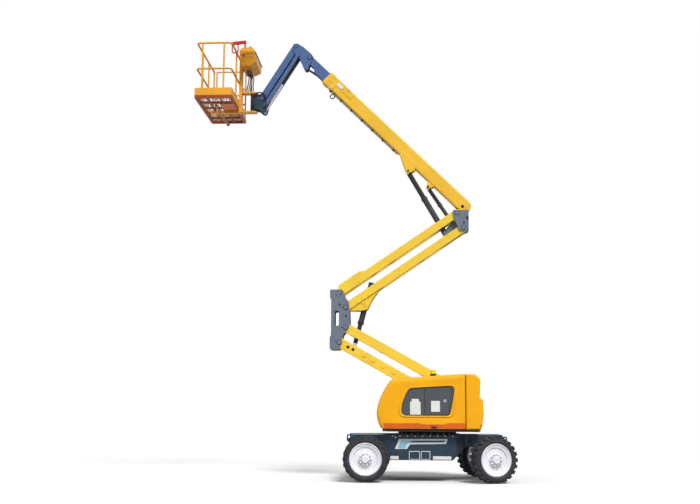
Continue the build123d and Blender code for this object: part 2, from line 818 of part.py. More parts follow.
with BuildPart() as mid_upright:
    # two grey plates outside the arms, tied along their left edge
    for face in (-1, 1):
        y_from = min(face * plate_inside, face * plate_outside)
        slab(
            mid_arm_pin, 0,
            [
                (-180, -140), (-190, -80), (-188, 105), (-165, 140), (-165, 845), (-188, 880), (-188, 1040),
                (40, 1040), (80, 1000), (100, 905), (185, 790), (195, 640), (205, 370), (180, 270), (80,
                160),
                (40, 20), (20, -110), (0, -140),
            ],
            y_from, y_from + upright_plate,
        )
        slab(
            mid_arm_pin, 0, [(-95, 325), (-10, 325), (-10, 620), (-95, 620)], y_from - 1, y_from + 21,
            Mode.SUBTRACT,
            30,
        )
        disc(shifted(mid_arm_pin, 0, 738), 22, y_from - 1, y_from + 21, Mode.SUBTRACT)
        y_from = min(face * bar_inside, face * (plate_inside + 1))
        y_to = max(face * bar_inside, face * (plate_inside + 1))
        for pin in (mid_arm_pin, mid_link_pin, upper_arm_pin, upper_link_pin):
            disc(pin, pin_radius, y_from, y_to)
    block(
        mid_arm_pin[0] - 165, mid_arm_pin[0] - 140, -plate_inside - 1, plate_inside + 1,
        mid_arm_pin[1] + 150,
        mid_arm_pin[1] + 840
    )
mid_upright.part.label = "mid_upright"
export_step(mid_upright.part, "parts/mid_upright.step")

with BuildPart() as riser_barrel:
    rod(away(trunnion, riser_barrel_above, riser_angle + 180), away(trunnion, riser_barrel_below,
    riser_angle),
        riser_barrel_radius)
    disc(trunnion, pin_radius, -bar_inside - 30, bar_inside + 30)
    rod(away(trunnion, riser_barrel_above - 40, riser_angle + 180), away(trunnion,
    riser_barrel_below + 1, riser_angle),
        riser_rod_radius + running, mode=Mode.SUBTRACT)
riser_barrel.part.label = "riser_barrel"
export_step(riser_barrel.part, "parts/riser_barrel.step")

with BuildPart() as riser_rod:
    rod(riser_eye, away(riser_eye, riser_rod_length, riser_angle + 180), riser_rod_radius)
    disc(riser_eye, 44, -eye_half_width, eye_half_width)
riser_rod.part.label = "riser_rod"
export_step(riser_rod.part, "parts/riser_rod.step")

with BuildPart() as top_upright:
    # grey plates outside the links, a back plate, and a lug in the middle for the boom
    back = link_pin_dx + upper_arm_depth / 2 + clear
    for face in (-1, 1):
        y_from = min(face * plate_inside, face * plate_outside)
        slab(
            top_link_pin, 0,
            [
                (-91, 20), (-80, 53), (back + 20, 53), (back + 20, -link_pin_dz - 30), (back - 30,
                -link_pin_dz - 66),
                (40, -link_pin_dz - 66), (-60, -120),
            ],
            y_from, y_from + upright_plate,
        )
        y_from = min(face * bar_inside, face * (plate_inside + 1))
        y_to = max(face * bar_inside, face * (plate_inside + 1))
        disc(top_link_pin, pin_radius, y_from, y_to)
        disc(top_arm_pin, pin_radius, y_from, y_to)
    back_x = top_link_pin[0] + back
    block(back_x, back_x + 20, -plate_inside - 1, plate_inside + 1, top_arm_pin[1] - 50,
    top_arm_pin[1] + 200)
    lug_back = back_x + 1 - boom_pivot[0]
    slab(
        boom_pivot, 0,
        [(-58, 0), (58, 0), (lug_back, -240), (lug_back, -480), (-20, -470), (-90, -260)],
        -eye_half_width - 4, eye_half_width + 4,
    )
    disc(boom_pivot, 58, -eye_half_width - 4, eye_half_width + 4)
    disc(boom_pivot, pin_radius + 8, -boom_width / 2 - 8, boom_width / 2 + 8)
    # plates that hold the feet of the lift and levelling cylinders
    for face in (-1, 1):
        y_from = min(face * (eye_half_width + 3), face * (eye_half_width + 23))
        slab(
            boom_pivot, 0,
            [
                (-90, -262), (60, -262), (80, -470), (-60, -500), (lift_base_dx + 30, lift_base_dz - 50),
                (lift_base_dx - 40, lift_base_dz - 30), (lift_base_dx - 50, lift_base_dz + 30), (-230,
                -320),
            ],
            y_from, y_from + 20,
        )
    disc(lift_base, 28, -eye_half_width - 23, eye_half_width + 23)
    disc(master_base, 20, -eye_half_width - 23, eye_half_width + 23)
    slab(
        boom_pivot, 0, [(-60, -300), (60, -300), (60, -460), (-60, -460)], -eye_half_width - 4,
        eye_half_width + 4
    )
top_upright.part.label = "top_upright"
export_step(top_upright.part, "parts/top_upright.step")

boom_bottom = boom_depth / 2 - boom_axis_drop

with BuildPart() as main_boom:
    # a hollow box whose rear end straddles the lug of the upright
    boom_rear = away(boom_start, boom_tail, boom_angle + 180)
    box_tube(boom_rear, boom_angle, boom_width, boom_depth, boom_wall, boom_length + boom_tail, 26)
    slab(
        boom_pivot, boom_angle,
        [(-boom_tail - 40, -40), (100, -40), (100, boom_bottom + 1), (-boom_tail - 40, boom_bottom + 1)],
        -eye_half_width - 26, eye_half_width + 26, Mode.SUBTRACT,
    )
    disc(boom_pivot, 80, -boom_width / 2 - 6, -boom_width / 2 + 1)
    disc(boom_pivot, 80, boom_width / 2 - 1, boom_width / 2 + 6)
    disc(boom_pivot, pin_radius + 8 + running, -boom_width, boom_width, Mode.SUBTRACT)
    # the upper rear corner is rounded off
    boom_roof = -boom_depth / 2 - boom_axis_drop
    rear = -boom_tail
    slab(
        boom_pivot, boom_angle,
        [
            (rear - 20, boom_roof - 20), (rear + 130, boom_roof - 20), (rear + 130, boom_roof - 1),
            (rear + 90, boom_roof + 6), (rear + 48, boom_roof + 26), (rear + 20, boom_roof + 58),
            (rear + 4, boom_roof + 104), (rear - 1, boom_roof + 150), (rear - 20, boom_roof + 150),
        ],
        -boom_width, boom_width, Mode.SUBTRACT,
    )
    # brackets for the lift and levelling cylinders, and a stepped sleeve at the mouth
    for face in (-1, 1):
        y_from = min(face * (boom_width / 2 - boom_wall), face * (boom_width / 2 + bracket_lap))
        slab(
            boom_pivot, boom_angle,
            [
                (lift_eye_along + 369, 10), (lift_eye_along + 352, boom_bottom), (lift_eye_along + 40,
                eye_drop + 28),
                (lift_eye_along, eye_drop + 46), (lift_eye_along - 38, eye_drop + 30),
                (lift_eye_along - 84, boom_bottom + 36), (lift_eye_along - 52, 32),
            ],
            y_from, y_from + boom_wall + bracket_lap,
        )
        y_from = min(face * (boom_width / 2 - 1), face * (boom_width / 2 + bracket_lap))
        slab(
            boom_pivot, boom_angle,
            [
                (boom_length - 170, boom_bottom - 1), (boom_length, boom_bottom - 1), (boom_length,
                boom_roof + 1),
                (boom_length - 470, boom_roof + 1), (boom_length - 470, boom_roof + 90),
                (boom_length - 170, boom_roof + 90),
            ],
            y_from, y_from + 1 + bracket_lap,
        )
        y_from = min(face * (boom_width / 2 - 20), face * boom_width / 2)
        slab(
            boom_pivot, boom_angle,
            [
                (master_along - 80, boom_bottom - 2), (master_along - 34, master_drop + 16),
                (master_along, master_drop + 32), (master_along + 34, master_drop + 16),
                (master_along + 80, boom_bottom - 2),
            ],
            y_from, y_from + 20,
        )
        y_from = min(face * (eye_half_width + 5), face * (boom_width / 2 - 1))
        y_to = max(face * (eye_half_width + 5), face * (boom_width / 2 - 1))
        disc(lift_eye, 26, y_from, y_to)
        disc(master_eye, 18, y_from, y_to)
main_boom.part.label = "main_boom"
export_step(main_boom.part, "parts/main_boom.step")

with BuildPart() as boom_collar:
    # the wear-pad collar at the mouth of the boom
    with BuildSketch(across(boom_tip, boom_angle)):
        RectangleRounded(boom_width + 2 * collar_edge, boom_depth + 2 * collar_edge, 30)
        RectangleRounded(fly_width + 2 * pad_gap, fly_depth + 2 * pad_gap, 14, mode=Mode.SUBTRACT)
    extrude(amount=collar_length)
boom_collar.part.label = "boom_collar"
export_step(boom_collar.part, "parts/boom_collar.step")

with BuildPart() as fly_boom:
    # the inner box that slides in the boom, on pads at its inner end
    fly_start = away(boom_tip, fly_inside, boom_angle + 180)
    box_tube(fly_start, boom_angle, fly_width, fly_depth, fly_wall, fly_inside + fly_stick_out, 14)
    with BuildSketch(across(fly_start, boom_angle)):
        RectangleRounded(
            boom_width - 2 * boom_wall - 2 * pad_gap, boom_depth - 2 * boom_wall - 2 * pad_gap, 26
        )
        Rectangle(fly_width - 2, fly_depth - 2, mode=Mode.SUBTRACT)
    extrude(amount=130)
    # the lower wall is open at the tip for the levelling rod
    slab(
        head_pivot, boom_angle,
        [(-550, 60), (200, 60), (200, 200), (-550, 200)], -46, 46, Mode.SUBTRACT,
    )
    # and its lower corners are cut back where the levelling pin swings past
    slab(
        head_pivot, boom_angle,
        [(-225, 82), (200, 82), (200, 200), (-330, 200)], -fly_width, fly_width, Mode.SUBTRACT,
    )
    disc(head_pivot, pin_radius + running, -fly_width, fly_width, Mode.SUBTRACT)
fly_boom.part.label = "fly_boom"
export_step(fly_boom.part, "parts/fly_boom.step")

with BuildPart() as slave_barrel:
    rod(slave_base, away(slave_base, slave_barrel_length, slave_angle), slave_barrel_radius)
    disc(slave_base, slave_barrel_radius + 4, running - fly_width / 2 + fly_wall,
    fly_width / 2 - fly_wall - running)
    rod(away(slave_base, 50, slave_angle), away(slave_base, slave_barrel_length + 1, slave_angle),
        slave_rod_radius + running, mode=Mode.SUBTRACT)
slave_barrel.part.label = "slave_barrel"
export_step(slave_barrel.part, "parts/slave_barrel.step")

with BuildPart() as slave_rod:
    rod(slave_pin, away(slave_pin, slave_rod_length, slave_angle + 180), slave_rod_radius)
    disc(slave_pin, 30, -28, 28)
slave_rod.part.label = "slave_rod"
export_step(slave_rod.part, "parts/slave_rod.step")

with BuildPart() as lift_barrel:
    rod(lift_base, away(lift_base, lift_barrel_length, lift_angle), lift_barrel_radius)
    disc(lift_base, 48, -eye_half_width, eye_half_width)
    rod(away(lift_base, 60, lift_angle), away(lift_base, lift_barrel_length + 1, lift_angle),
        lift_rod_radius + running, mode=Mode.SUBTRACT)
    block(lift_base[0] - 100, lift_base[0] + 100, -90, -eye_half_width, lift_base[1] - 90,
    lift_base[1] + 140,
          Mode.SUBTRACT)
    block(lift_base[0] - 100, lift_base[0] + 100, eye_half_width, 90, lift_base[1] - 90, lift_base[1] + 140,
          Mode.SUBTRACT)
    disc(lift_base, 28 + running, -60, 60, Mode.SUBTRACT)
lift_barrel.part.label = "lift_barrel"
export_step(lift_barrel.part, "parts/lift_barrel.step")

with BuildPart() as lift_rod:
    rod(lift_eye, away(lift_eye, lift_rod_length, lift_angle + 180), lift_rod_radius)
    disc(lift_eye, 40, -eye_half_width, eye_half_width)
    block(lift_eye[0] - 90, lift_eye[0] + 90, -90, -eye_half_width, lift_eye[1] - 60, lift_eye[1] + 60,
    Mode.SUBTRACT)
    block(lift_eye[0] - 90, lift_eye[0] + 90, eye_half_width, 90, lift_eye[1] - 60, lift_eye[1] + 60,
    Mode.SUBTRACT)
lift_rod.part.label = "lift_rod"
export_step(lift_rod.part, "parts/lift_rod.step")

with BuildPart() as master_barrel:
    rod(master_base, away(master_base, master_barrel_length, master_angle), master_barrel_radius)
    disc(master_base, 36, -eye_half_width, eye_half_width)
    rod(away(master_base, 45, master_angle), away(master_base, master_barrel_length + 1, master_angle),
        master_rod_radius + running, mode=Mode.SUBTRACT)
    disc(master_base, 20 + running, -60, 60, Mode.SUBTRACT)
master_barrel.part.label = "master_barrel"
export_step(master_barrel.part, "parts/master_barrel.step")

with BuildPart() as master_rod:
    rod(master_eye, away(master_eye, master_rod_length, master_angle + 180), master_rod_radius)
    disc(master_eye, 28, -eye_half_width, eye_half_width)
master_rod.part.label = "master_rod"
export_step(master_rod.part, "parts/master_rod.step")

head_inside = fly_width / 2 + clear
head_outside = head_inside + head_plate
jib_bar_inside = head_outside + clear
jib_bar_outside = jib_bar_inside + jib_bar_width
jib_pin_radius = 24

with BuildPart() as boom_head:
    # two blue plates on the tip of the fly that carry the jib
    for face in (-1, 1):
        y_from = min(face * head_inside, face * head_outside)
        slab(
            head_pivot, 0,
            [
                (60, -40), (55, 70), (-120, 230), (jib_pin_dx + 40, jib_pin_dz + 55),
                (jib_pin_dx - 40, jib_pin_dz + 50), (jib_pin_dx - 55, jib_pin_dz - 10),
                (jib_pin_dx - 45, jib_pin_dz - 90), (jib_pin_dx + jib_low_dx - 45,
                jib_pin_dz - jib_pin_gap - 30),
                (jib_pin_dx + jib_low_dx + 25, jib_pin_dz - jib_pin_gap - 60),
                (slave_pin_dx - 50, slave_pin_dz - 10), (slave_pin_dx - 20, slave_pin_dz - 50),
                (slave_pin_dx + 30, slave_pin_dz - 45), (slave_pin_dx + 50, slave_pin_dz + 20),
            ],
            y_from, y_from + head_plate,
        )
        y_from = min(face * 30, face * (head_inside + 1))
        y_to = max(face * 30, face * (head_inside + 1))
        disc(slave_pin, 20, y_from, y_to)
        y_from = min(face * head_inside, face * jib_bar_outside)
        y_to = max(face * head_inside, face * jib_bar_outside)
        disc(jib_low_pin, jib_pin_radius, y_from, y_to)
        y_from = min(face * (fly_width / 2 - fly_wall), face * (head_inside + 1))
        y_to = max(face * (fly_width / 2 - fly_wall), face * (head_inside + 1))
        disc(head_pivot, pin_radius, y_from, y_to)
        y_from = min(face * (jib_width / 2 - jib_wall), face * (head_inside + 1))
        y_to = max(face * (jib_width / 2 - jib_wall), face * (head_inside + 1))
        disc(jib_pin, jib_pin_radius, y_from, y_to)
    disc(jib_base, 18, -head_inside - 1, head_inside + 1)
boom_head.part.label = "boom_head"
export_step(boom_head.part, "parts/boom_head.step")

with BuildPart() as jib_arm:
    # a box from the side, open below so that the cylinder can lie in it
    bar(jib_pin, end_pin, jib_depth, -jib_width / 2, jib_width / 2)
    inner_half = jib_width / 2 - jib_wall
    slab(
        jib_pin, jib_angle,
        [(-100, -100), (330, -100), (330, 12 - jib_depth / 2), (1030, 12 - jib_depth / 2), (1030, -100),
        (1400, -100),
         (1400, 100), (-100, 100)],
        -inner_half, inner_half, Mode.SUBTRACT,
    )
    disc(jib_pin, jib_pin_radius + running, -jib_width, jib_width, Mode.SUBTRACT)
    disc(end_pin, jib_pin_radius + running, -jib_width, jib_width, Mode.SUBTRACT)
jib_arm.part.label = "jib_arm"
export_step(jib_arm.part, "parts/jib_arm.step")

with BuildPart() as jib_bars:
    for face in (-1, 1):
        y_from = min(face * jib_bar_inside, face * jib_bar_outside)
        bar(jib_low_pin, end_low_pin, jib_bar_depth, y_from, y_from + jib_bar_width)
        for pin in (jib_low_pin, end_low_pin):
            disc(pin, jib_pin_radius + running, y_from - 1, y_from + jib_bar_width + 1, Mode.SUBTRACT)
jib_bars.part.label = "jib_bars"
export_step(jib_bars.part, "parts/jib_bars.step")

with BuildPart() as jib_head:
    # plates that stay level, with the post that the platform turns on
    for face in (-1, 1):
        y_from = min(face * head_inside, face * head_outside)
        slab(
            end_pin, 0,
            [
                (50, 20), (20, 48), (-30, 48), (rotator_dx + 40, 20), (rotator_dx, 20), (rotator_dx, -250),
                (-60, -300), (jib_eye_dx - 30, jib_eye_dz - 45), (jib_eye_dx + 30, jib_eye_dz - 40),
                (jib_eye_dx + 48, jib_eye_dz), (jib_low_dx + 50, -jib_pin_gap - 10), (jib_low_dx + 46,
                -jib_pin_gap + 30),
            ],
            y_from, y_from + head_plate,
        )
        y_from = min(face * (jib_width / 2 - jib_wall), face * (head_inside + 1))
        y_to = max(face * (jib_width / 2 - jib_wall), face * (head_inside + 1))
        disc(end_pin, jib_pin_radius, y_from, y_to)
        y_from = min(face * head_inside, face * jib_bar_outside)
        y_to = max(face * head_inside, face * jib_bar_outside)
        disc(end_low_pin, jib_pin_radius, y_from, y_to)
        y_from = min(face * 34, face * (head_inside + 1))
        y_to = max(face * 34, face * (head_inside + 1))
        disc(jib_eye, 16, y_from, y_to)
    with BuildSketch(Plane(origin=(rotator[0], 0, end_pin[1] + rotator_bottom))):
        Circle(rotator_radius)
    extrude(amount=rotator_top - rotator_bottom)
    web_to = rotator_dx + rotator_radius + 40
    slab(end_pin, 0, [(rotator_dx, -40), (web_to, -40), (web_to, -240), (rotator_dx, -240)],
    -head_inside - 1,
         head_inside + 1)
jib_head.part.label = "jib_head"
export_step(jib_head.part, "parts/jib_head.step")

with BuildPart() as jib_barrel:
    rod(jib_base, away(jib_base, jib_barrel_length, jib_cyl_angle), jib_barrel_radius)
    disc(jib_base, 34, -32, 32)
    rod(away(jib_base, 40, jib_cyl_angle), away(jib_base, jib_barrel_length + 1, jib_cyl_angle),
        jib_rod_radius + running, mode=Mode.SUBTRACT)
    disc(jib_base, 18 + running, -60, 60, Mode.SUBTRACT)
jib_barrel.part.label = "jib_barrel"
export_step(jib_barrel.part, "parts/jib_barrel.step")

with BuildPart() as jib_rod:
    rod(jib_eye, away(jib_eye, jib_rod_length, jib_cyl_angle + 180), jib_rod_radius)
    disc(jib_eye, 30, -32, 32)
jib_rod.part.label = "jib_rod"
export_step(jib_rod.part, "parts/jib_rod.step")

with BuildPart() as platform_mount:
    # a bracket round the rotator, a column, and an arm under the floor
    high = end_pin[1] + rotator_top + running
    low = end_pin[1] + rotator_bottom - running
    for z_from in (high, low - 32):
        with BuildSketch(Plane(origin=(rotator[0], 0, z_from))):
            with Locations((-platform_gap / 2, 0)):
                SlotCenterToCenter(platform_gap, 2 * rotator_radius)
        extrude(amount=32)
    block(
        column_right - column_width, column_right, -rotator_radius, rotator_radius, low - 32,
        end_pin[1] + console_bottom + console_height + 30
    )
    block(floor_left + 160, column_right - column_width + 1, -46, 46, low - 32, floor_bottom)
    # the ends that stick out past the column are trimmed flush
    block(column_right - column_width - 80, column_right - column_width, -100, 100, high - 1, high + 40,
    Mode.SUBTRACT)
platform_mount.part.label = "platform_mount"
export_step(platform_mount.part, "parts/platform_mount.step")

with BuildPart() as platform_floor:
    # a deck plate on a frame of beams
    block(floor_left, floor_right, -half_length, half_length, floor_bottom, floor_top)
    bay = (platform_length - 6 * beam_width) / 5
    for index in range(5):
        y_from = -half_length + beam_width + index * (bay + beam_width)
        block(
            floor_left + beam_width, floor_right - beam_width, y_from, y_from + bay, floor_bottom - 1,
            floor_top - deck_plate, Mode.SUBTRACT
        )
platform_floor.part.label = "platform_floor"
export_step(platform_floor.part, "parts/platform_floor.step")

side_start = rail_near + rail_bend + rail_radius

with BuildPart() as platform_rails:
    # two bent tubes and two posts across the near end
    for post_x in (rail_left + 110, rail_right - 150):
        rail((post_x, rail_near, floor_top), (post_x, rail_near, rail_top), rail_radius - 2)
    for level in (rail_mid, rail_top):
        hoop = [(rail_left, side_start), (rail_left, rail_near), (rail_right, rail_near), (rail_right,
        side_start)]
        with BuildLine(mode=Mode.PRIVATE) as hoop_line:
            FilletPolyline(*[(x, y, level) for x, y in hoop], radius=rail_bend)
        with BuildSketch(Plane(origin=hoop_line.line @ 0, z_dir=hoop_line.line % 0),
        mode=Mode.PRIVATE) as hoop_tube:
            Circle(rail_radius)
        sweep(hoop_tube.sketch, path=hoop_line.line)
platform_rails.part.label = "platform_rails"
export_step(platform_rails.part, "parts/platform_rails.step")


def side_rails(x):
    # straight tubes along one side, on posts
    for post_y in (-half_length / 3, half_length / 3, rail_far):
        rail((x, post_y, floor_top), (x, post_y, rail_top), rail_radius - 2)
    for level in (rail_mid, rail_top):
        rail((x, side_start, level), (x, rail_far + rail_radius, level), rail_radius)


with BuildPart() as rails_left:
    side_rails(rail_left)
rails_left.part.label = "rails_left"
export_step(rails_left.part, "parts/rails_left.step")

with BuildPart() as rails_right:
    side_rails(rail_right)
    # tabs that the gate hangs on
    tab_end = gate_x + gate_radius + running
    for tab_z in (rail_mid - 220, rail_mid + 120):
        block(tab_end, rail_right, rail_far - 8, rail_far + 8, tab_z, tab_z + 40)
rails_right.part.label = "rails_right"
export_step(rails_right.part, "parts/rails_right.step")

with BuildPart() as gate_foot:
    # the pin on the floor that the gate turns on
    rail((gate_x, rail_far, floor_top), (gate_x, rail_far, floor_top + gate_lift - running),
    gate_radius - 4)
gate_foot.part.label = "gate_foot"
export_step(gate_foot.part, "parts/gate_foot.step")

toe_top = floor_top + toe_height

with BuildPart() as toe_boards:
    # low walls round three sides of the floor
    block(floor_left, floor_right, -half_length, -half_length + toe_wall, floor_top, toe_top)
    block(floor_left, floor_left + toe_wall, -half_length, half_length - 60, floor_top, toe_top)
    block(floor_right - toe_wall, floor_right, -half_length, half_length - 60, floor_top, toe_top)
    fillet(toe_boards.edges().filter_by(Axis.Z).group_by(Axis.Y)[0], 2)
toe_boards.part.label = "toe_boards"
export_step(toe_boards.part, "parts/toe_boards.step")

with BuildPart() as platform_gate:
    # a swing gate across the far end, with its own toe board
    for x in (gate_x, gate_end):
        rail((x, rail_far, floor_top + gate_lift), (x, rail_far, rail_top), gate_radius)
    for level in (rail_mid, rail_top):
        rail((gate_x, rail_far, level), (gate_end, rail_far, level), gate_radius)
    block(gate_end, gate_x, rail_far - 3, rail_far + 3, floor_top + gate_lift, toe_top)
platform_gate.part.label = "platform_gate"
export_step(platform_gate.part, "parts/platform_gate.step")

console_low = end_pin[1] + console_bottom
console_high = console_low + console_height

with BuildPart() as console:
    # the control box on the column, with a sloping front
    slab(
        (column_right, 0), 0,
        [
            (running, console_low), (console_depth - 110, console_low), (console_depth, console_low + 70),
            (console_depth, console_high - 70), (console_depth - 60, console_high), (60, console_high),
            (running, console_high - 60),
        ],
        -console_half_length, console_half_length, Mode.ADD, 36,
    )
    # its ends are undercut, so that the turned platform clears the lowered jib
    for face in (-1, 1):
        with BuildSketch(Plane.YZ.offset(column_right - 1)):
            with BuildLine():
                Polyline(
                    (face * (console_half_length + 1), console_low - 1),
                    (face * (console_half_length - console_undercut), console_low - 1),
                    (face * (console_half_length + 1), console_low + 2.2 * console_undercut), close=True
                )
            make_face()
        extrude(amount=console_depth + 2, mode=Mode.SUBTRACT)
console.part.label = "console"
export_step(console.part, "parts/console.step")

with BuildPart() as guard_bar:
    # the red bar above the near end of the console, with a tube loop at its left end
    bar_z = console_high + 74
    bar_left = column_right - 180
    bar_right = column_right + 124
    slab(
        (0, 0), 0,
        [(bar_left, bar_z), (bar_right, bar_z + 34), (bar_right, bar_z + 78), (bar_left + 20, bar_z + 50)],
        guard_y - 40, guard_y + 40,
    )
    rail((bar_right - 20, guard_y, console_high), (bar_right - 20, guard_y, bar_z + 45), 18)
    loop = [(bar_left + 20, bar_z + 20), (bar_left + 20, bar_z - 170), (column_right - 40, bar_z - 170)]
    with BuildLine(mode=Mode.PRIVATE) as loop_line:
        FilletPolyline(*[(x, guard_y, z) for x, z in loop + [(column_right - 40, bar_z + 20)]], radius=40)
    with BuildSketch(Plane(origin=loop_line.line @ 0, z_dir=loop_line.line % 0),
    mode=Mode.PRIVATE) as loop_tube:
        Circle(13)
    sweep(loop_tube.sketch, path=loop_line.line)
guard_bar.part.label = "guard_bar"
export_step(guard_bar.part, "parts/guard_bar.step")
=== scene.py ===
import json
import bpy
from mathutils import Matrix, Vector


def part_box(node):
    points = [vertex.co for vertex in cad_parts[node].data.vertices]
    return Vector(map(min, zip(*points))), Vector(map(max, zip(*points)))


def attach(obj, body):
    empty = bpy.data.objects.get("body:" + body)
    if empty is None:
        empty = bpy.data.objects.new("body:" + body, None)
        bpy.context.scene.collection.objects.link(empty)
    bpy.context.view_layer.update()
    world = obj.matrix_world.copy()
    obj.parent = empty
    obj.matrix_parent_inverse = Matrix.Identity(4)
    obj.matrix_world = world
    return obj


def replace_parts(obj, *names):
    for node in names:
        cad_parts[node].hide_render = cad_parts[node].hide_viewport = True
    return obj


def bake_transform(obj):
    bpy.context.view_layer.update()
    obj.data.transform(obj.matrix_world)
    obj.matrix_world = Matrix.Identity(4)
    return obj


bl_info = {
    "name": "Articulating boom lift",
    "version": (1, 0, 0),
    "blender": (4, 5, 0),
    "location": "3D View > Sidebar > Boom lift",
    "description": "Finishes and fittings for a packed articulating boom lift",
    "category": "Object",
}

from math import cos, pi, radians, sin

import bmesh
import bpy
import numpy as np
from bpy.props import FloatProperty, FloatVectorProperty, IntProperty, PointerProperty
from mathutils import Matrix

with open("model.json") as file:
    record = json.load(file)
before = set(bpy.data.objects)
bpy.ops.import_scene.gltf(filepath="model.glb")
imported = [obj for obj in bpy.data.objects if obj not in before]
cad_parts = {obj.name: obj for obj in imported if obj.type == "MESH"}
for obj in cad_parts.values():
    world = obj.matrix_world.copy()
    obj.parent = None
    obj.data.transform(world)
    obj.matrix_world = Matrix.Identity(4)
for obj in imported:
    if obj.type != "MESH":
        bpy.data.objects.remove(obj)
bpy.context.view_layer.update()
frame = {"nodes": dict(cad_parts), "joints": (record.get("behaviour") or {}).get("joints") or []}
NODES = frame["nodes"]
JOINTS = {joint["name"]: joint for joint in frame["joints"]}

# The boom lies in the XZ plane. The near and the far side of the machine are the signs of Y.
SIDES = (-1, 1)
NEAR = (0, -1, 0)
UP = (0, 0, 1)

# Bolt heads: width across the flats and height, in metres
KEEPER_BOLT, PLATE_BOLT, FLANGE_BOLT, SLEW_BOLT = (0.019, 0.010), (0.022, 0.010), (0.024, 0.012), (0.030, 0.020)


# Finishes

# Sockets of a Mix node for colours, by number because their names repeat for each kind of data
SHARE, FIRST, SECOND, MIXED = 0, 6, 7, 2
PRIMER, BARE_STEEL, DUST = "#D9D4C6", "#8F9499", "#B9B2A6"

# Sizes of the patterns. Orange peel and mould pimples are 1 to 2 mm in life and are drawn coarser so that they show.
PAINT_DRIFT_MM, PAINT_DUST_MM, PAINT_PEEL_MM, PAINT_EDGE_MM = 420.0, 130.0, 9.0, 7.0
RUBBER_DUST_MM, RUBBER_PIMPLE_MM, RUBBER_EDGE_MM = 70.0, 5.0, 6.0
STEEL_STAIN_MM, PLASTIC_SCUFF_MM, LENS_CLOUD_MM = 60.0, 45.0, 30.0


def linear(hex_colour):
    """sRGB hex to linear RGB: c/12.92 below 0.04045, else ((c + 0.055) / 1.055) ** 2.4."""
    parts = [int(hex_colour[i:i + 2], 16) / 255 for i in (1, 3, 5)]
    return tuple(c / 12.92 if c <= 0.04045 else ((c + 0.055) / 1.055) ** 2.4 for c in parts)


def add(tree, kind, inputs=None, **settings):
    """Adds one shader node and gives its outputs. settings are its properties, inputs its socket values or the
    sockets that feed them."""
    node = tree.nodes.new("ShaderNode" + kind)
    for name, value in settings.items():
        setattr(node, name, value)
    for name, value in (inputs or {}).items():
        if isinstance(value, bpy.types.NodeSocket):
            tree.links.new(value, node.inputs[name])
        else:
            node.inputs[name].default_value = value
    return node.outputs


def per_metre(millimetres):
    """Noise scale whose patches are about that many millimetres across, on coordinates in metres."""
    return 1000.0 / millimetres


def rgba(colour, shade=1.0):
    """A linear colour, darkened by the shade, with full alpha."""
    return (colour[0] * shade, colour[1] * shade, colour[2] * shade, 1.0)


def new_material(name):
    """An empty material, its node tree and the socket of its Object coordinates."""
    material = bpy.data.materials.new(name)
    material.use_nodes = True
    tree = material.node_tree
    tree.nodes.clear()
    return material, tree, add(tree, "TexCoord")["Object"]


def finished(material, surface):
    """The material with that socket as its surface."""
    add(material.node_tree, "OutputMaterial", {"Surface": surface})
    return material


def sprayed_enamel(name, paint, worn, roughness, dust, wear):
    """Sprayed enamel on welded steel. The eye sees a slow drift of shade, pale dust in patches that dulls the gloss,
    an orange-peel skin, and edges rubbed paler where the film is thin."""
    material, tree, place = new_material(name)
    drift = add(tree, "TexNoise", {"Vector": place, "Scale": per_metre(PAINT_DRIFT_MM), "Detail": 3.0})["Fac"]
    dusty = add(tree, "TexNoise", {"Vector": place, "Scale": per_metre(PAINT_DUST_MM), "Detail": 6.0,
                                   "Roughness": 0.65})["Fac"]
    shade = add(tree, "MapRange", {"Value": drift, "From Min": 0.3, "From Max": 0.7, "To Min": 0.9, "To Max": 1.06})
    base = add(tree, "Mix", {FIRST: rgba(paint), SECOND: rgba(paint, 0.9), SHARE: drift}, data_type="RGBA")
    toned = add(tree, "VectorMath", {0: base[MIXED], "Scale": shade["Result"]}, operation="SCALE")
    film = add(tree, "MapRange", {"Value": dusty, "From Min": 0.48, "From Max": 0.78, "To Min": 0.0, "To Max": dust})
    grey = [0.45 * c + 0.55 * d for c, d in zip(paint, linear(DUST))]
    dusted = add(tree, "Mix", {FIRST: toned[0], SECOND: rgba(grey), SHARE: film["Result"]}, data_type="RGBA")
    rounded = add(tree, "Bevel", {"Radius": PAINT_EDGE_MM / 1000.0}, samples=4)["Normal"]
    flat = add(tree, "NewGeometry")["Normal"]
    turn = add(tree, "VectorMath", {0: rounded, 1: flat}, operation="DOT_PRODUCT")
    edge = add(tree, "MapRange", {"Value": turn["Value"], "From Min": 0.97, "From Max": 0.80,
                                  "To Min": 0.0, "To Max": 1.0})
    patchy = add(tree, "Math", {0: edge["Result"], 1: dusty}, operation="MULTIPLY")
    rubbed = add(tree, "Math", {0: patchy[0], 1: wear}, operation="MULTIPLY", use_clamp=True)
    colour = add(tree, "Mix", {FIRST: dusted[MIXED], SECOND: rgba(worn), SHARE: rubbed[0]}, data_type="RGBA")
    peel = add(tree, "TexNoise", {"Vector": place, "Scale": per_metre(PAINT_PEEL_MM), "Detail": 2.0})
    skin = add(tree, "Bump", {"Height": peel["Fac"], "Strength": 0.06, "Distance": 0.002, "Normal": rounded})
    gloss = add(tree, "MapRange", {"Value": dusty, "From Min": 0.3, "From Max": 0.7,
                                   "To Min": roughness, "To Max": roughness + 0.18})
    shader = add(tree, "BsdfPrincipled", {"Base Color": colour[MIXED], "IOR": 1.5, "Specular IOR Level": 0.3,
                                          "Roughness": gloss["Result"], "Normal": skin["Normal"]})
    return finished(material, shader["BSDF"])


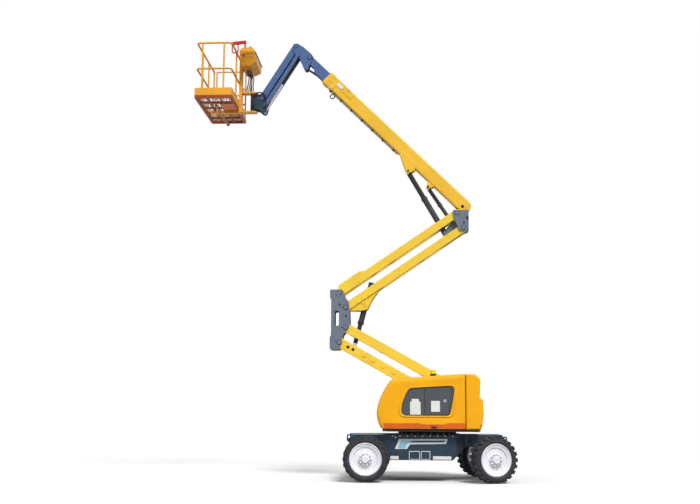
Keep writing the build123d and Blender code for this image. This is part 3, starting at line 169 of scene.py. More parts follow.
def tyre_rubber(name, rubber, dust):
    """Moulded solid rubber: matt, grey dust worked into it, and pimples from the mould."""
    material, tree, place = new_material(name)
    mottle = add(tree, "TexNoise", {"Vector": place, "Scale": per_metre(RUBBER_DUST_MM), "Detail": 7.0,
                                    "Roughness": 0.7})
    mask = add(tree, "MapRange", {"Value": mottle["Fac"], "From Min": 0.35, "From Max": 0.75})
    colour = add(tree, "Mix", {FIRST: rgba(rubber), SECOND: rgba(dust), SHARE: mask["Result"]}, data_type="RGBA")
    grit = add(tree, "TexNoise", {"Vector": place, "Scale": per_metre(RUBBER_PIMPLE_MM), "Detail": 3.0})
    rounded = add(tree, "Bevel", {"Radius": RUBBER_EDGE_MM / 1000.0}, samples=4)
    pimples = add(tree, "Bump", {"Height": grit["Fac"], "Strength": 0.25, "Distance": 0.003,
                                 "Normal": rounded["Normal"]})
    shader = add(tree, "BsdfPrincipled", {"Base Color": colour[MIXED], "Roughness": 0.82, "IOR": 1.52,
                                          "Normal": pimples["Normal"]})
    return finished(material, shader["BSDF"])


def plated_steel(name, metal, roughness, grain_mm):
    """Ground or plated steel: bright, with stains and turning marks that break up the reflection. The marks are finer
    in life and are drawn a few millimetres wide so that they show."""
    material, tree, place = new_material(name)
    marks = add(tree, "TexNoise", {"Vector": place, "Scale": per_metre(grain_mm), "Detail": 5.0})
    stain = add(tree, "TexNoise", {"Vector": place, "Scale": per_metre(STEEL_STAIN_MM), "Detail": 4.0})
    colour = add(tree, "Mix", {FIRST: rgba(metal), SECOND: rgba(metal, 0.62), SHARE: stain["Fac"]},
                 data_type="RGBA")
    rough = add(tree, "MapRange", {"Value": marks["Fac"], "From Min": 0.3, "From Max": 0.7,
                                   "To Min": roughness, "To Max": roughness + 0.2})
    shader = add(tree, "BsdfPrincipled", {"Base Color": colour[MIXED], "Metallic": 1.0,
                                          "Roughness": rough["Result"]})
    return finished(material, shader["BSDF"])


def moulded_plastic(name, colour, roughness, grain_mm, coat=0.0):
    """Moulded plastic: one colour through the wall, the grain or the slow waviness of the tool, and slight scuffs."""
    material, tree, place = new_material(name)
    grain = add(tree, "TexVoronoi", {"Vector": place, "Scale": per_metre(grain_mm)})
    scuff = add(tree, "TexNoise", {"Vector": place, "Scale": per_metre(PLASTIC_SCUFF_MM), "Detail": 6.0})["Fac"]
    scuffed = [min(1.0, c * 1.35 + 0.01) for c in colour]
    tint = add(tree, "Mix", {FIRST: rgba(colour), SECOND: rgba(scuffed), SHARE: scuff}, data_type="RGBA")
    rough = add(tree, "MapRange", {"Value": scuff, "From Min": 0.35, "From Max": 0.7,
                                   "To Min": roughness, "To Max": roughness + 0.2})
    wavy = add(tree, "Bump", {"Height": grain["Distance"], "Strength": 0.12, "Distance": 0.001})
    shader = add(tree, "BsdfPrincipled", {"Base Color": tint[MIXED], "IOR": 1.49, "Coat Weight": coat,
                                          "Roughness": rough["Result"], "Normal": wavy["Normal"]})
    return finished(material, shader["BSDF"])


def cast_lens(name, colour):
    """Cast polycarbonate lamp lens: clear yellow-green, smooth, slightly cloudy."""
    material, tree, place = new_material(name)
    cloud = add(tree, "TexNoise", {"Vector": place, "Scale": per_metre(LENS_CLOUD_MM), "Detail": 2.0})
    tint = add(tree, "Mix", {FIRST: rgba(colour), SECOND: rgba(colour, 0.88), SHARE: cloud["Fac"]},
               data_type="RGBA")
    shader = add(tree, "BsdfPrincipled", {"Base Color": tint[MIXED], "Roughness": 0.12, "IOR": 1.58,
                                          "Transmission Weight": 0.05})
    return finished(material, shader["BSDF"])


# Filled by the finishes operator
MATERIALS = {}

# Sprayed paints: material, own colour or None for the one in LiftColours, colour of a worn edge, roughness of the
# film, dust that lies on it, wear along its edges
PAINTS = {
    "boom": ("yellow_enamel_on_steel", None, PRIMER, 0.32, 0.08, 0.7),
    "arm": ("lemon_enamel_on_steel", None, PRIMER, 0.32, 0.06, 0.7),
    # The floor frame's burnt orange is the platform's yellow as it looks in shade under the floor: painted shade.
    "floor": ("burnt_orange_enamel", None, PRIMER, 0.45, 0.10, 0.7),
    "hood": ("orange_enamel_on_sheet", None, PRIMER, 0.22, 0.04, 0.4),
    # The band's darker orange paints the shade on the hood's lower chamfer: painted shade. The latch pocket rims and
    # the plate under the floor take it too.
    "band": ("dark_orange_film", None, PRIMER, 0.34, 0.03, 0.2),
    "upright": ("blue_grey_enamel", None, PRIMER, 0.38, 0.12, 0.8),
    "cage": ("platform_powder_coat", None, PRIMER, 0.40, 0.06, 0.6),
    "jib": ("steel_blue_enamel", None, PRIMER, 0.34, 0.10, 0.8),
    "chassis": ("dark_blue_enamel", None, BARE_STEEL, 0.36, 0.10, 0.5),
    "dark": ("black_chassis_paint", "#2A303A", BARE_STEEL, 0.5, 0.35, 0.5),
    "rim": ("white_enamel_on_rim", None, BARE_STEEL, 0.35, 0.10, 0.2),
    "red": ("red_enamel_on_tube", None, PRIMER, 0.30, 0.08, 0.5),
    "barrel": ("black_cylinder_paint", None, BARE_STEEL, 0.40, 0.25, 0.6),
    "black": ("black_enamel", None, BARE_STEEL, 0.42, 0.16, 0.5),
    "white": ("white_plate_film", "#E9E9E4", PRIMER, 0.45, 0.10, 0.2),
    "stripe": ("light_blue_film", "#8FC4E0", PRIMER, 0.45, 0.10, 0.2),
    "tan": ("tan_primer", "#B58A5A", PRIMER, 0.5, 0.2, 0.5),
}

# The solids that keep their CAD shape, by finish
NODE_FINISH = {
    "chassis": ("chassis_frame", "tie_lugs", "jib_head"),
    "dark": ("fixed_axle", "steer_axle", "knuckle_near", "knuckle_far", "slew_ring", "engine_block"),
    "tyre": ("tyre_left_near", "tyre_left_far", "tyre_right_near", "tyre_right_far"),
    "rim": ("rim_left_near", "rim_left_far", "rim_right_near", "rim_right_far"),
    "upright": ("mid_upright", "top_upright"),
    "hood": ("hood_near", "hood_far", "counterweight"),
    "window": ("panel_near", "panel_far"),
    "lens": ("beacon",),
    "arm": ("lower_arm", "lower_link", "upper_arm", "upper_link"),
    "boom": ("main_boom", "boom_collar"),
    "black": ("jib_barrel", "slave_rod", "turntable_frame", "cheek_near", "cheek_far"),
    "jib": ("fly_boom", "boom_head", "jib_arm", "jib_bars"),
    "barrel": ("riser_barrel", "lift_barrel", "master_barrel", "slave_barrel"),
    "chrome": ("riser_rod", "lift_rod", "master_rod", "jib_rod"),
    "cage": ("platform_floor", "platform_rails", "rails_left", "rails_right", "gate_foot", "toe_boards",
             "platform_gate", "platform_mount", "console"),
    "red": ("guard_bar",),
}


def hue(name, hex_colour, description):
    """Property for a colour that a user may change."""
    return FloatVectorProperty(name=name, description=description, default=linear(hex_colour), min=0.0, max=1.0,
                               subtype="COLOR")


class LiftColours(bpy.types.PropertyGroup):
    """Paints and plastics of the lift."""

    boom: hue("Boom", "#F3C033", "Yellow enamel of the boom")
    arm: hue("Arms", "#F6CF3E", "Lemon-yellow enamel of the riser arms")
    # Burnt orange for the floor frame: the platform's yellow as it looks in shade under the floor, painted shade.
    floor: hue("Floor frame", "#98430F", "Burnt-orange paint under the platform")
    hood: hue("Hood", "#F8B000", "Yellow-orange paint of the hoods and the weight")
    # The darker orange band paints the shade on the hood's lower chamfer: painted shade.
    band: hue("Hood band", "#DC660E", "Darker orange band along the hood")
    upright: hue("Uprights", "#6C7686", "Blue-grey paint of the uprights")
    cage: hue("Platform", "#EFA62A", "Yellow paint of the platform")
    jib: hue("Jib", "#4A6698", "Steel-blue paint of the jib and the fly")
    chassis: hue("Chassis", "#22384A", "Dark blue paint of the chassis")
    rim: hue("Rims", "#EFEFF5", "White paint of the rims")
    tyre: hue("Tyres", "#212428", "Solid rubber of the tyres")
    red: hue("Guard", "#D9222E", "Red paint of the guard bar")
    window: hue("Window", "#33383F", "Smoked panel of the hood")
    black: hue("Black parts", "#191B1E", "Black paint and plastic")
    barrel: hue("Barrels", "#33363C", "Black paint of the cylinders")
    lens: hue("Lamp", "#EFE812", "Lens of the beacon")


class LiftSizes(bpy.types.PropertyGroup):
    """Sizes of the fittings that a user may change."""

    wheel_nuts: IntProperty(name="Wheel nuts", description="Nuts on each wheel", default=10, min=5, max=16)
    nut_across: FloatProperty(name="Nut", description="Width of a wheel nut across its flats", default=0.036,
                              unit="LENGTH")
    hose: FloatProperty(name="Hose", description="Diameter of a hydraulic hose", default=0.022, unit="LENGTH")


class LIFT_OT_finishes(bpy.types.Operator):
    """Makes the finishes and gives each carried-over solid its own"""

    bl_idname = "lift.finishes"
    bl_label = "Finishes"

    def execute(self, context):
        colours = context.scene.lift_colours
        for finish, (name, own, worn, roughness, dust, wear) in PAINTS.items():
            paint = linear(own) if own else getattr(colours, finish)
            MATERIALS[finish] = sprayed_enamel(name, paint, linear(worn), roughness, dust, wear)
        MATERIALS["tyre"] = tyre_rubber("solid_tyre_rubber", colours.tyre, linear("#3C3F45"))
        MATERIALS["bellows"] = tyre_rubber("bellows_rubber", linear("#1B1D20"), linear("#303338"))
        MATERIALS["hose"] = tyre_rubber("hose_rubber", linear("#17181B"), linear("#2B2D31"))
        MATERIALS["chrome"] = plated_steel("hard_chrome_rod", linear("#D6D9DC"), 0.12, 6.0)
        MATERIALS["zinc"] = plated_steel("zinc_plated_steel", linear("#A9ADB0"), 0.34, 4.0)
        MATERIALS["window"] = moulded_plastic("smoked_polycarbonate", colours.window, 0.10, 60.0, coat=0.5)
        MATERIALS["knob"] = moulded_plastic("black_moulded_knob", linear("#15161A"), 0.38, 3.0)
        MATERIALS["lens"] = cast_lens("cast_lamp_lens", colours.lens)
        for finish, names in NODE_FINISH.items():
            for name in names:
                slots = NODES[name].data.materials
                slots.clear()
                slots.append(MATERIALS[finish])
        return {"FINISHED"}


# Shapes. A shape is its points in metres and a list of blocks of faces, each block an array with one row a face.


def grid_faces(rows, columns, close_rows=False, close_columns=False):
    """Quads of a rows x columns grid of points, wrapped round where asked."""
    r = np.arange(rows if close_rows else rows - 1)
    c = np.arange(columns if close_columns else columns - 1)
    i, j = [a.ravel() for a in np.meshgrid(r, c, indexing="ij")]
    i2, j2 = (i + 1) % rows, (j + 1) % columns
    return np.stack([i * columns + j, i * columns + j2, i2 * columns + j2, i2 * columns + j], axis=1)


def end_caps(rows, columns):
    """Faces that close the first and the last row of a grid."""
    row = np.arange(columns)
    return [row[None, ::-1], row[None] + (rows - 1) * columns]


def merged(shapes):
    """Points and faces of several shapes as one: the faces of each count on from the points before it."""
    starts = np.cumsum([0] + [len(points) for points, blocks in shapes])
    faces = []
    for (points, blocks), start in zip(shapes, starts):
        for block in blocks:
            faces += (block + start).tolist()
    return np.concatenate([points for points, blocks in shapes]), faces


def put_piece(name, shapes, finish, body, smooth=False):
    """Makes one piece from shapes. Points that meet at a pole or a seam are merged, faces are turned outwards, and
    edges sharper than 35 degrees stay sharp. The piece rides on a body, or on none where no body is given."""
    points, faces = merged(shapes)
    mesh = bpy.data.meshes.new(name)
    mesh.from_pydata(points.tolist(), [], faces)
    work = bmesh.new()
    work.from_mesh(mesh)
    bmesh.ops.remove_doubles(work, verts=work.verts, dist=1e-6)
    bmesh.ops.dissolve_degenerate(work, edges=work.edges, dist=1e-7)
    bmesh.ops.recalc_face_normals(work, faces=work.faces)
    work.to_mesh(mesh)
    work.free()
    mesh.polygons.foreach_set("use_smooth", np.full(len(mesh.polygons), smooth))
    if smooth:
        mesh.set_sharp_from_angle(angle=radians(35))
    mesh.materials.append(MATERIALS[finish])
    piece = bpy.data.objects.new(name, mesh)
    bpy.context.scene.collection.objects.link(piece)
    if body:
        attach(piece, body)
    return piece


def span(node):
    """Lowest and highest corner of a node."""
    low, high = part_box(node)
    return np.array(low), np.array(high)


def pivot(joint):
    """Place of a packed joint, in metres."""
    return np.array(JOINTS[joint]["pos_m"], float)


def axis(joint):
    """Direction of a packed joint."""
    return np.array(JOINTS[joint]["axis"], float)


def sideways(y):
    """Vector of that length across the machine."""
    return np.array([0.0, y, 0.0])


def axes_along(direction):
    """Three unit vectors with the last along the direction."""
    w = np.asarray(direction, float)
    w = w / np.linalg.norm(w)
    helper = np.array([0.0, 0.0, 1.0]) if abs(w[2]) < 0.9 else np.array([1.0, 0.0, 0.0])
    u = np.cross(helper, w)
    u = u / np.linalg.norm(u)
    return np.stack([u, np.cross(w, u), w])


def circle(middle, u, v, radius, count):
    """Points P(a) = middle + radius (u cos a + v sin a) of a circle."""
    a = np.linspace(0, 2 * pi, count, endpoint=False)
    return middle + radius * (np.cos(a)[:, None] * u + np.sin(a)[:, None] * v)


def turned(profile, middle, direction, sides):
    """Surface of revolution: P(t, a) = middle + axial(t) w + radial(t) (u cos a + v sin a).
    profile is a list of (axial, radial) metres; ends at radius 0 close to a pole."""
    u, v, w = axes_along(direction)
    axial, radial = np.asarray(profile, float).T[:, :, None, None]
    points = axial * w + radial * circle(0.0, u, v, 1.0, sides)
    faces = [grid_faces(len(axial), sides, close_columns=True)] + end_caps(len(axial), sides)
    return points.reshape(-1, 3) + np.asarray(middle, float), faces


def disc(radius, height, middle, direction, sides):
    """A low round disc as a turned profile."""
    return turned([(0.0, radius), (height, radius), (height, 0.0)], middle, direction, sides)


def hex_bolt(middle, direction, across, height):
    """A hexagon head with a chamfered top: six sides of the turned profile, radius across / sqrt(3)."""
    r = across / 3 ** 0.5
    return turned([(0, r), (height * 0.8, r), (height, r * 0.84)], middle, direction, 6)


def plate(corners, direction, lift, thickness):
    """A thin plate: the outline's points p, at p + lift n and p + (lift + thickness) n, joined by its edge faces."""
    corners = np.asarray(corners, float)
    n = np.asarray(direction, float) / np.linalg.norm(direction)
    area = np.cross(corners - corners[0], np.roll(corners, -1, axis=0) - corners[0]).sum(axis=0)
    if area @ n < 0:
        corners = corners[::-1]
    points = np.concatenate([corners + lift * n, corners + (lift + thickness) * n])
    return points, end_caps(2, len(corners)) + [grid_faces(2, len(corners), close_columns=True)]


def swept(path, radius, sides, closed=False):
    """A tube: circle of the radius carried along the path, its frame turned by the tangent T(s) with a fixed
    helper, the axis along which the path runs least."""
    path = np.asarray(path, float)
    tangent = np.roll(path, -1, axis=0) - np.roll(path, 1, axis=0) if closed else np.gradient(path, axis=0)
    tangent /= np.linalg.norm(tangent, axis=1)[:, None]
    helper = np.eye(3)[int(np.argmin(np.ptp(path, axis=0)))]
    u = np.cross(helper, tangent)
    u /= np.linalg.norm(u, axis=1)[:, None]
    v = np.cross(tangent, u)
    a = np.linspace(0, 2 * pi, sides, endpoint=False)[None, :, None]
    points = path[:, None] + radius * (np.cos(a) * u[:, None] + np.sin(a) * v[:, None])
    faces = [grid_faces(len(path), sides, close_rows=closed, close_columns=True)]
    return points.reshape(-1, 3), faces if closed else faces + end_caps(len(path), sides)


def stations(corners, step=0.02):
    """Points at about one step from each other along the straight runs between corners."""
    corners = np.asarray(corners, float)
    run = np.concatenate([[0.0], np.cumsum(np.linalg.norm(np.diff(corners, axis=0), axis=1))])
    along = np.linspace(0, run[-1], max(int(run[-1] / step), 2))
    return np.stack([np.interp(along, run, corners[:, k]) for k in range(3)], axis=1)


def rounded_outline(corners, radius, steps=5):
    """Outline in two dimensions with each corner replaced by an arc of the radius, as a quadratic curve
    B(t) = (1-t)^2 a + 2 t (1-t) p + t^2 b between points that lie the radius away from the corner p."""
    p = np.asarray(corners, float)
    before, after = np.roll(p, 1, axis=0) - p, np.roll(p, -1, axis=0) - p
    a, b = [p + leg * np.minimum(radius / np.linalg.norm(leg, axis=1), 0.45)[:, None] for leg in (before, after)]
    t = np.linspace(0, 1, steps)[None, :, None]
    curve = (1 - t) ** 2 * a[:, None] + 2 * t * (1 - t) * p[:, None] + t ** 2 * b[:, None]
    return curve.reshape(-1, 2)


def shrunk(outline, share):
    """Outline scaled about its middle."""
    middle = outline.mean(axis=0)
    return middle + (outline - middle) * share


def rectangle(x_from, x_to, z_from, z_to):
    """Outline of a rectangle in X and Z."""
    return ((x_from, z_from), (x_to, z_from), (x_to, z_to), (x_from, z_to))


def on_side(outline, y):
    """Points of an outline in X and Z, in metres, on the plane at that Y."""
    outline = np.asarray(outline, float)
    return np.insert(outline, 1, y, axis=1)


def flat_on(outline, face, y, thickness):
    """Thin plate with an outline in X and Z, standing outwards from the side at that distance from the middle."""
    return plate(on_side(outline, face * y), (0, face, 0), 0.0, thickness)


def box(low, high):
    """Box between two corners as a plate of its lower face."""
    (x0, y0, z0), (x1, y1, z1) = low, high
    return plate([(x0, y0, z0), (x1, y0, z0), (x1, y1, z0), (x0, y1, z0)], UP, 0.0, z1 - z0)


def folded_cover(start, end, inner, outer, folds, sides=28):
    """Bellows: radius r(s) = inner + (outer - inner) sqrt(1 - |2 frac(folds s) - 1|), turned about the line."""
    length = np.linalg.norm(end - start)
    s = np.linspace(0, 1, folds * 4 + 1)
    radius = inner + (outer - inner) * np.sqrt(1 - np.abs(2 * ((folds * s) % 1.0) - 1))
    profile = [(0.0, 0.0)] + list(zip(s * length, radius)) + [(length, 0.0)]
    return turned(profile, start, (end - start) / length, sides)


# Wheels. Distances are along the axle from the wheel's middle.
WHEELS = ("left_near", "left_far", "right_near", "right_far")
NUT_SEAT, NUT_CIRCLE, NUT_HEIGHT = 0.106, 0.102, 0.030
STUD = ((0.026, 0.011), (0.044, 0.011), (0.047, 0.008))
HUB_CAP = ((0.142, 0.0), (0.142, 0.070), (0.150, 0.069), (0.158, 0.060), (0.160, 0.040), (0.160, 0.024),
           (0.156, 0.020), (0.156, 0.0))
SIDEWALL, SIDEWALL_FLAT, SIDEWALL_SLOPE = 0.150, 0.340, 0.25
SIDEWALL_RIBS = ((0.335, 0.004), (0.352, 0.004), (0.372, 0.005))
BEAD_SEAT, BEAD_CIRCLE, BEAD = 0.126, 0.286, 0.008
RING_STEPS = 72


def wheel_axis(name):
    """Middle of a wheel and the way its outer face looks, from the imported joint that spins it."""
    out = axis(f"wheel_{name}_spin")
    if (out[1] > 0) != name.endswith("far"):
        out = -out
    low, high = span(f"tyre_{name}")
    return (low + high) / 2, out


class LIFT_OT_wheels(bpy.types.Operator):
    """Adds the nuts, the hub caps, the sidewall ribs and the rim beads of the wheels"""

    bl_idname = "lift.wheels"
    bl_label = "Wheel fittings"

    def execute(self, context):
        sizes = context.scene.lift_sizes
        for name in WHEELS:
            middle, out = wheel_axis(name)
            u, v, w = axes_along(out)
            body = f"wheel_{name}"
            spots = circle(middle + NUT_SEAT * w, u, v, NUT_CIRCLE, sizes.wheel_nuts)
            nuts = [hex_bolt(spot, w, sizes.nut_across, NUT_HEIGHT) for spot in spots]
            nuts += [turned(STUD, spot, w, 12) for spot in spots]
            put_piece(f"wheel_nuts_{name}", nuts, "rim", body)
            put_piece(f"hub_cap_{name}", [turned(HUB_CAP, middle, w, 40)], "rim", body, True)
            ribs = []
            for radius, height in SIDEWALL_RIBS:
                side = SIDEWALL - max(0.0, radius - SIDEWALL_FLAT) * SIDEWALL_SLOPE
                ribs.append(swept(circle(middle + side * w, u, v, radius, RING_STEPS), height, 8, closed=True))
            put_piece(f"sidewall_ribs_{name}", ribs, "tyre", body, True)
            ring = circle(middle + BEAD_SEAT * w, u, v, BEAD_CIRCLE, RING_STEPS)
            put_piece(f"rim_bead_{name}", [swept(ring, BEAD, 10, closed=True)], "rim", body, True)
        return {"FINISHED"}


# Boom. A place on it is a distance along it from its foot pin and a drop below that line.
BOOM_RUN = axis("boom_extend")
BOOM_DOWN = np.array([-BOOM_RUN[2], 0.0, BOOM_RUN[0]])
BOOM_WALL = 0.098
BARE_PLATE = ((3.450, -0.118), (3.600, -0.118), (3.600, -0.045), (3.450, -0.045))
SLEEVE_BOLTS = ((3.715, -0.135), (3.715, -0.03), (3.715, 0.07), (3.33, -0.135), (3.62, 0.07))
SLEEVE_PLATE = ((3.42, -0.030), (3.170, -0.030), (3.170, -0.145), (3.42, -0.145))
BRACKET_WELD = ((1.643, 0.085), (1.657, 0.010), (1.236, 0.032), (1.218, 0.088))
FAIRLEAD, FAIRLEAD_RADIUS = (3.51, 0.168), 0.044
FAIRLEAD_LUG = ((3.47, 0.096), (3.55, 0.096), (3.53, 0.130), (3.49, 0.130))
PIPE_RUN, PIPE_DROP, PIPE_PLACES = (1.70, 3.65), 0.118, (-0.028, 0.0, 0.028)
CLIP_DROP, CLIP_LENGTH, CLIP_HALF = 0.096, 0.03, 0.05


def boom_point(place, y=0.0):
    """Point, or points, at one or more places on the boom: foot pin + along run + drop down, at that Y."""
    return pivot("boom_lift") + np.asarray(place, float) @ np.stack([BOOM_RUN, BOOM_DOWN]) + sideways(y)


class LIFT_OT_boom(bpy.types.Operator):
    """Adds the bare plate, the sleeve plates and bolts, the bracket welds, the fairlead and the pipes of the boom"""

    bl_idname = "lift.boom"
    bl_label = "Boom details"

    def execute(self, context):
        body = "main_boom"
        skin = span("main_boom")[1][1]
        label, bolts, plates, beads = [], [], [], []
        for face in SIDES:
            n = (0, face, 0)
            label.append(plate(boom_point(BARE_PLATE, face * skin), n, 0.0, 0.003))
            bolts += [hex_bolt(spot, n, *PLATE_BOLT) for spot in boom_point(SLEEVE_BOLTS, face * skin)]
            plates.append(plate(boom_point(SLEEVE_PLATE, face * BOOM_WALL), n, -0.001, skin - BOOM_WALL + 0.0005))
            beads.append(swept(stations(boom_point(BRACKET_WELD, face * BOOM_WALL)), 0.007, 8))
        put_piece("bare_plate", label, "white", body)
        put_piece("sleeve_plates", plates, "boom", body)
        put_piece("bracket_welds", beads, "boom", body, True)
        put_piece("sleeve_bolts", bolts, "zinc", body)
        ring = circle(boom_point(FAIRLEAD), BOOM_RUN, BOOM_DOWN, FAIRLEAD_RADIUS, 40)
        lug = plate(boom_point(FAIRLEAD_LUG, -0.006), (0, 1, 0), 0.0, 0.012)
        put_piece("fairlead", [swept(ring, 0.011, 12, closed=True), lug], "black", body, True)
        pipes = []
        for y in PIPE_PLACES:
            start, end = boom_point([(along, PIPE_DROP) for along in PIPE_RUN], y)
            pipes.append(swept(np.linspace(start, end, 40), 0.010, 10))
        put_piece("boom_pipes", pipes, "zinc", body, True)
        clips = []
        for along in np.arange(1.80, 3.65, 0.30):
            ends = [(along, CLIP_DROP), (along + CLIP_LENGTH, CLIP_DROP)]
            corners = np.concatenate([boom_point(ends, -CLIP_HALF), boom_point(ends[::-1], CLIP_HALF)])
            clips.append(plate(corners, BOOM_DOWN, 0.0, 0.034))
        put_piece("pipe_clips", clips, "black", body)
        return {"FINISHED"}


# Pins: joint, radius and the angle of the keeper plate, or None for a low head
PIN_SIDES = 40
PIN_HEAD, LOW_HEAD = 0.014, 0.005
KEEPER_GAP, KEEPER_HALF, KEEPER_PLATE = 0.022, (0.020, 0.042), 0.008
PINS = {
    "mid_upright": (("mid_upright_turn", 0.042, 2.2), ("upper_arm_turn", 0.042, 2.6),
                    ("upper_link_turn", 0.042, -2.2)),
    "top_upright": (("top_upright_turn", 0.042, None),),
    "boom_head": (("jib_lift", 0.034, None), ("head_level", 0.038, 0.6)),
    "jib_head": (("jib_head_turn", 0.034, -2.0),),
}
# Pins at the upper ends of the links, which have no joint of their own there
LINK_PINS = {
    "mid_upright": (pivot("mid_upright_turn") + pivot("lower_link_turn") - pivot("riser_lift"), 0.042, 2.6),
    "top_upright": (pivot("top_upright_turn") + pivot("upper_link_turn") - pivot("upper_arm_turn"), 0.042, None),
}
JIB_HEAD_Y = 0.101
UPRIGHT_Y = 0.202
BRACKET_Y = 0.106
# Black films on the uprights at this slot and hole paint the shade inside them.
UPRIGHT_SLOT, UPRIGHT_HOLE = (0.796, 0.840, 5.046, 5.114), (0.749, 4.985)
UPRIGHT_STUDS = ((-1.558, 3.272), (-1.577, 3.134))

# Cylinders with bellows: rod radius, barrel radius, barrel length, radius over the folds, bare rod before its eye
CYLINDERS = {
    "lift": (0.039, 0.057, 0.86, 0.054, 0.046),
    "master": (0.027, 0.038, 0.50, 0.043, 0.046),
    "riser": (0.036, 0.056, 0.38, 0.046, 0.125),
}
ROD_EYES = {
    "lift": boom_point((1.288, 0.229)),
    "master": boom_point((0.7728, 0.187)),
    "riser": pivot("riser_barrel_turn") + 0.894 * axis("riser_rod_slide"),
}
FOLDS = 13
EASE = 0.003  # room between a rod and what goes round it


def pin_end(spot, face, radius, keeper):
    """A pin head with a dished face and a keeper plate with two bolts beside it, or a low head without a keeper
    where another part passes close by."""
    n = (0, face, 0)
    h = LOW_HEAD if keeper is None else PIN_HEAD
    shapes = [turned([(0.0, radius), (h * 0.7, radius), (h, radius - 0.005), (h, radius * 0.45),
                      (h * 0.7, radius * 0.35), (h * 0.7, 0.0)], spot, n, PIN_SIDES)]
    if keeper is not None:
        along = np.array([cos(keeper), 0.0, sin(keeper)])
        up = np.array([-sin(keeper), 0.0, cos(keeper)])
        middle = spot + along * (radius + KEEPER_GAP)
        half, tall = along * KEEPER_HALF[0], up * KEEPER_HALF[1]
        corners = [middle - half - tall, middle + half - tall, middle + half + tall, middle - half + tall]
        shapes.append(plate(corners, n, 0.0, KEEPER_PLATE))
        shapes += [hex_bolt(middle + up * k * 0.024 + sideways(face * KEEPER_PLATE), n, *KEEPER_BOLT)
                   for k in (-1, 1)]
    return shapes


def pin_ends(spot, y, radius, keeper):
    """Both ends of a pin, on the sides at that distance from its middle."""
    return [shape for face in SIDES for shape in pin_end(spot + sideways(face * y), face, radius, keeper)]


class LIFT_OT_pins(bpy.types.Operator):
    """Adds the pin heads with low black rings round them that paint the shade round each pin, the keeper plates,
    black films that paint the shade in the slot and the hole of the uprights, and the studs of the uprights
    """

    bl_idname = "lift.pins"
    bl_label = "Pins and keepers"

    def execute(self, context):
        for body, pins in PINS.items():
            spots = [(pivot(joint), radius, keeper) for joint, radius, keeper in pins]
            if body in LINK_PINS:
                low, high = span(body)
                y, finish = (high[1] - low[1]) / 2, "upright"
                spots.append(LINK_PINS[body])
            else:
                y, finish = JIB_HEAD_Y, "jib"
            heads, shade_rings = [], []
            for spot, radius, keeper in spots:
                heads += pin_ends(spot, y, radius, keeper)
                # A low black ring round each pin head paints the shadow round the pin: painted shade.
                shade_ring = ((0.0, radius + 0.010), (0.003, radius + 0.009), (0.003, radius - 0.004))
                shade_rings += [turned(shade_ring, spot + sideways(face * y), (0, face, 0), PIN_SIDES) for face in SIDES]
            put_piece(f"pin_heads_{body}", heads, finish, body)
            put_piece(f"pin_seats_{body}", shade_rings, "black", body)
        opening_shades, studs = [], []
        for face in SIDES:
            # Black films where the slot and the hole are: painted shade inside them.
            opening_shades.append(flat_on(rectangle(*UPRIGHT_SLOT), face, UPRIGHT_Y, 0.003))
            hole = (UPRIGHT_HOLE[0], face * UPRIGHT_Y, UPRIGHT_HOLE[1])
            opening_shades.append(disc(0.021, 0.003, hole, (0, face, 0), 32))
        for x, z in UPRIGHT_STUDS:
            studs += pin_ends(np.array([x, 0.0, z]), UPRIGHT_Y, 0.020, None)
        put_piece("upright_openings", opening_shades, "black", "top_upright")
        put_piece("upright_studs", studs, "black", "mid_upright")
        put_piece("pin_heads_boom", pin_ends(pivot("boom_lift"), BRACKET_Y, 0.026, None), "black", "top_upright")
        heads = [shape for name in ("lift", "master") for shape in pin_ends(ROD_EYES[name], BRACKET_Y, 0.022, None)]
        put_piece("pin_heads_brackets", heads, "black", "main_boom")
        return {"FINISHED"}


class LIFT_OT_cylinders(bpy.types.Operator):
    """Adds the rod bellows and the barrel glands of the cylinders"""

    bl_idname = "lift.cylinders"
    bl_label = "Cylinder fittings"

    def execute(self, context):
        for name, (rod, barrel, barrel_length, cover, bare) in CYLINDERS.items():
            run = axis(f"{name}_rod_slide")
            mouth = pivot(f"{name}_barrel_turn") + run * barrel_length
            tip = mouth + run * (float((ROD_EYES[name] - mouth) @ run) - bare)
            shape = folded_cover(mouth, tip, rod + EASE, cover, FOLDS)
            piece = put_piece(f"{name}_bellows", [shape], "bellows", None, True)
            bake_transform(piece)
            gland = ((-0.055, barrel), (-0.052, barrel + 0.007), (0.0, barrel + 0.007), (0.006, barrel + 0.003),
                     (0.006, rod + EASE), (-0.01, rod + EASE))
            put_piece(f"{name}_gland", [turned(gland, mouth, run, 40)], "black", f"{name}_barrel", True)
        return {"FINISHED"}


# Hoods. Outlines are in X and Z; HOOD_Y and PANE_Y are the outer faces of the hood and of its smoked panel.
HOOD_Y, PANE_Y = 1.0, 0.9915
HOOD_WALL, HOOD_RETURN = 0.008, 0.035
HOOD_CENTRE = np.array([0.0, 1.480])
HOOD_EDGE = np.array([0.060, 0.070, 0.080, 0.085, 0.085, 0.085, 0.085, 0.080, 0.018, 0.014])
WINDOW = ((-0.340, 1.712), (0.430, 1.758), (0.488, 1.722), (0.470, 1.535), (0.400, 1.215), (-0.430, 1.215),
          (-0.490, 1.265), (-0.480, 1.410), (-0.410, 1.590))
SURROUND = ((1.12, -0.003), (1.10, 0.012), (1.07, 0.017), (1.05, 0.016), (1.00, -0.003))
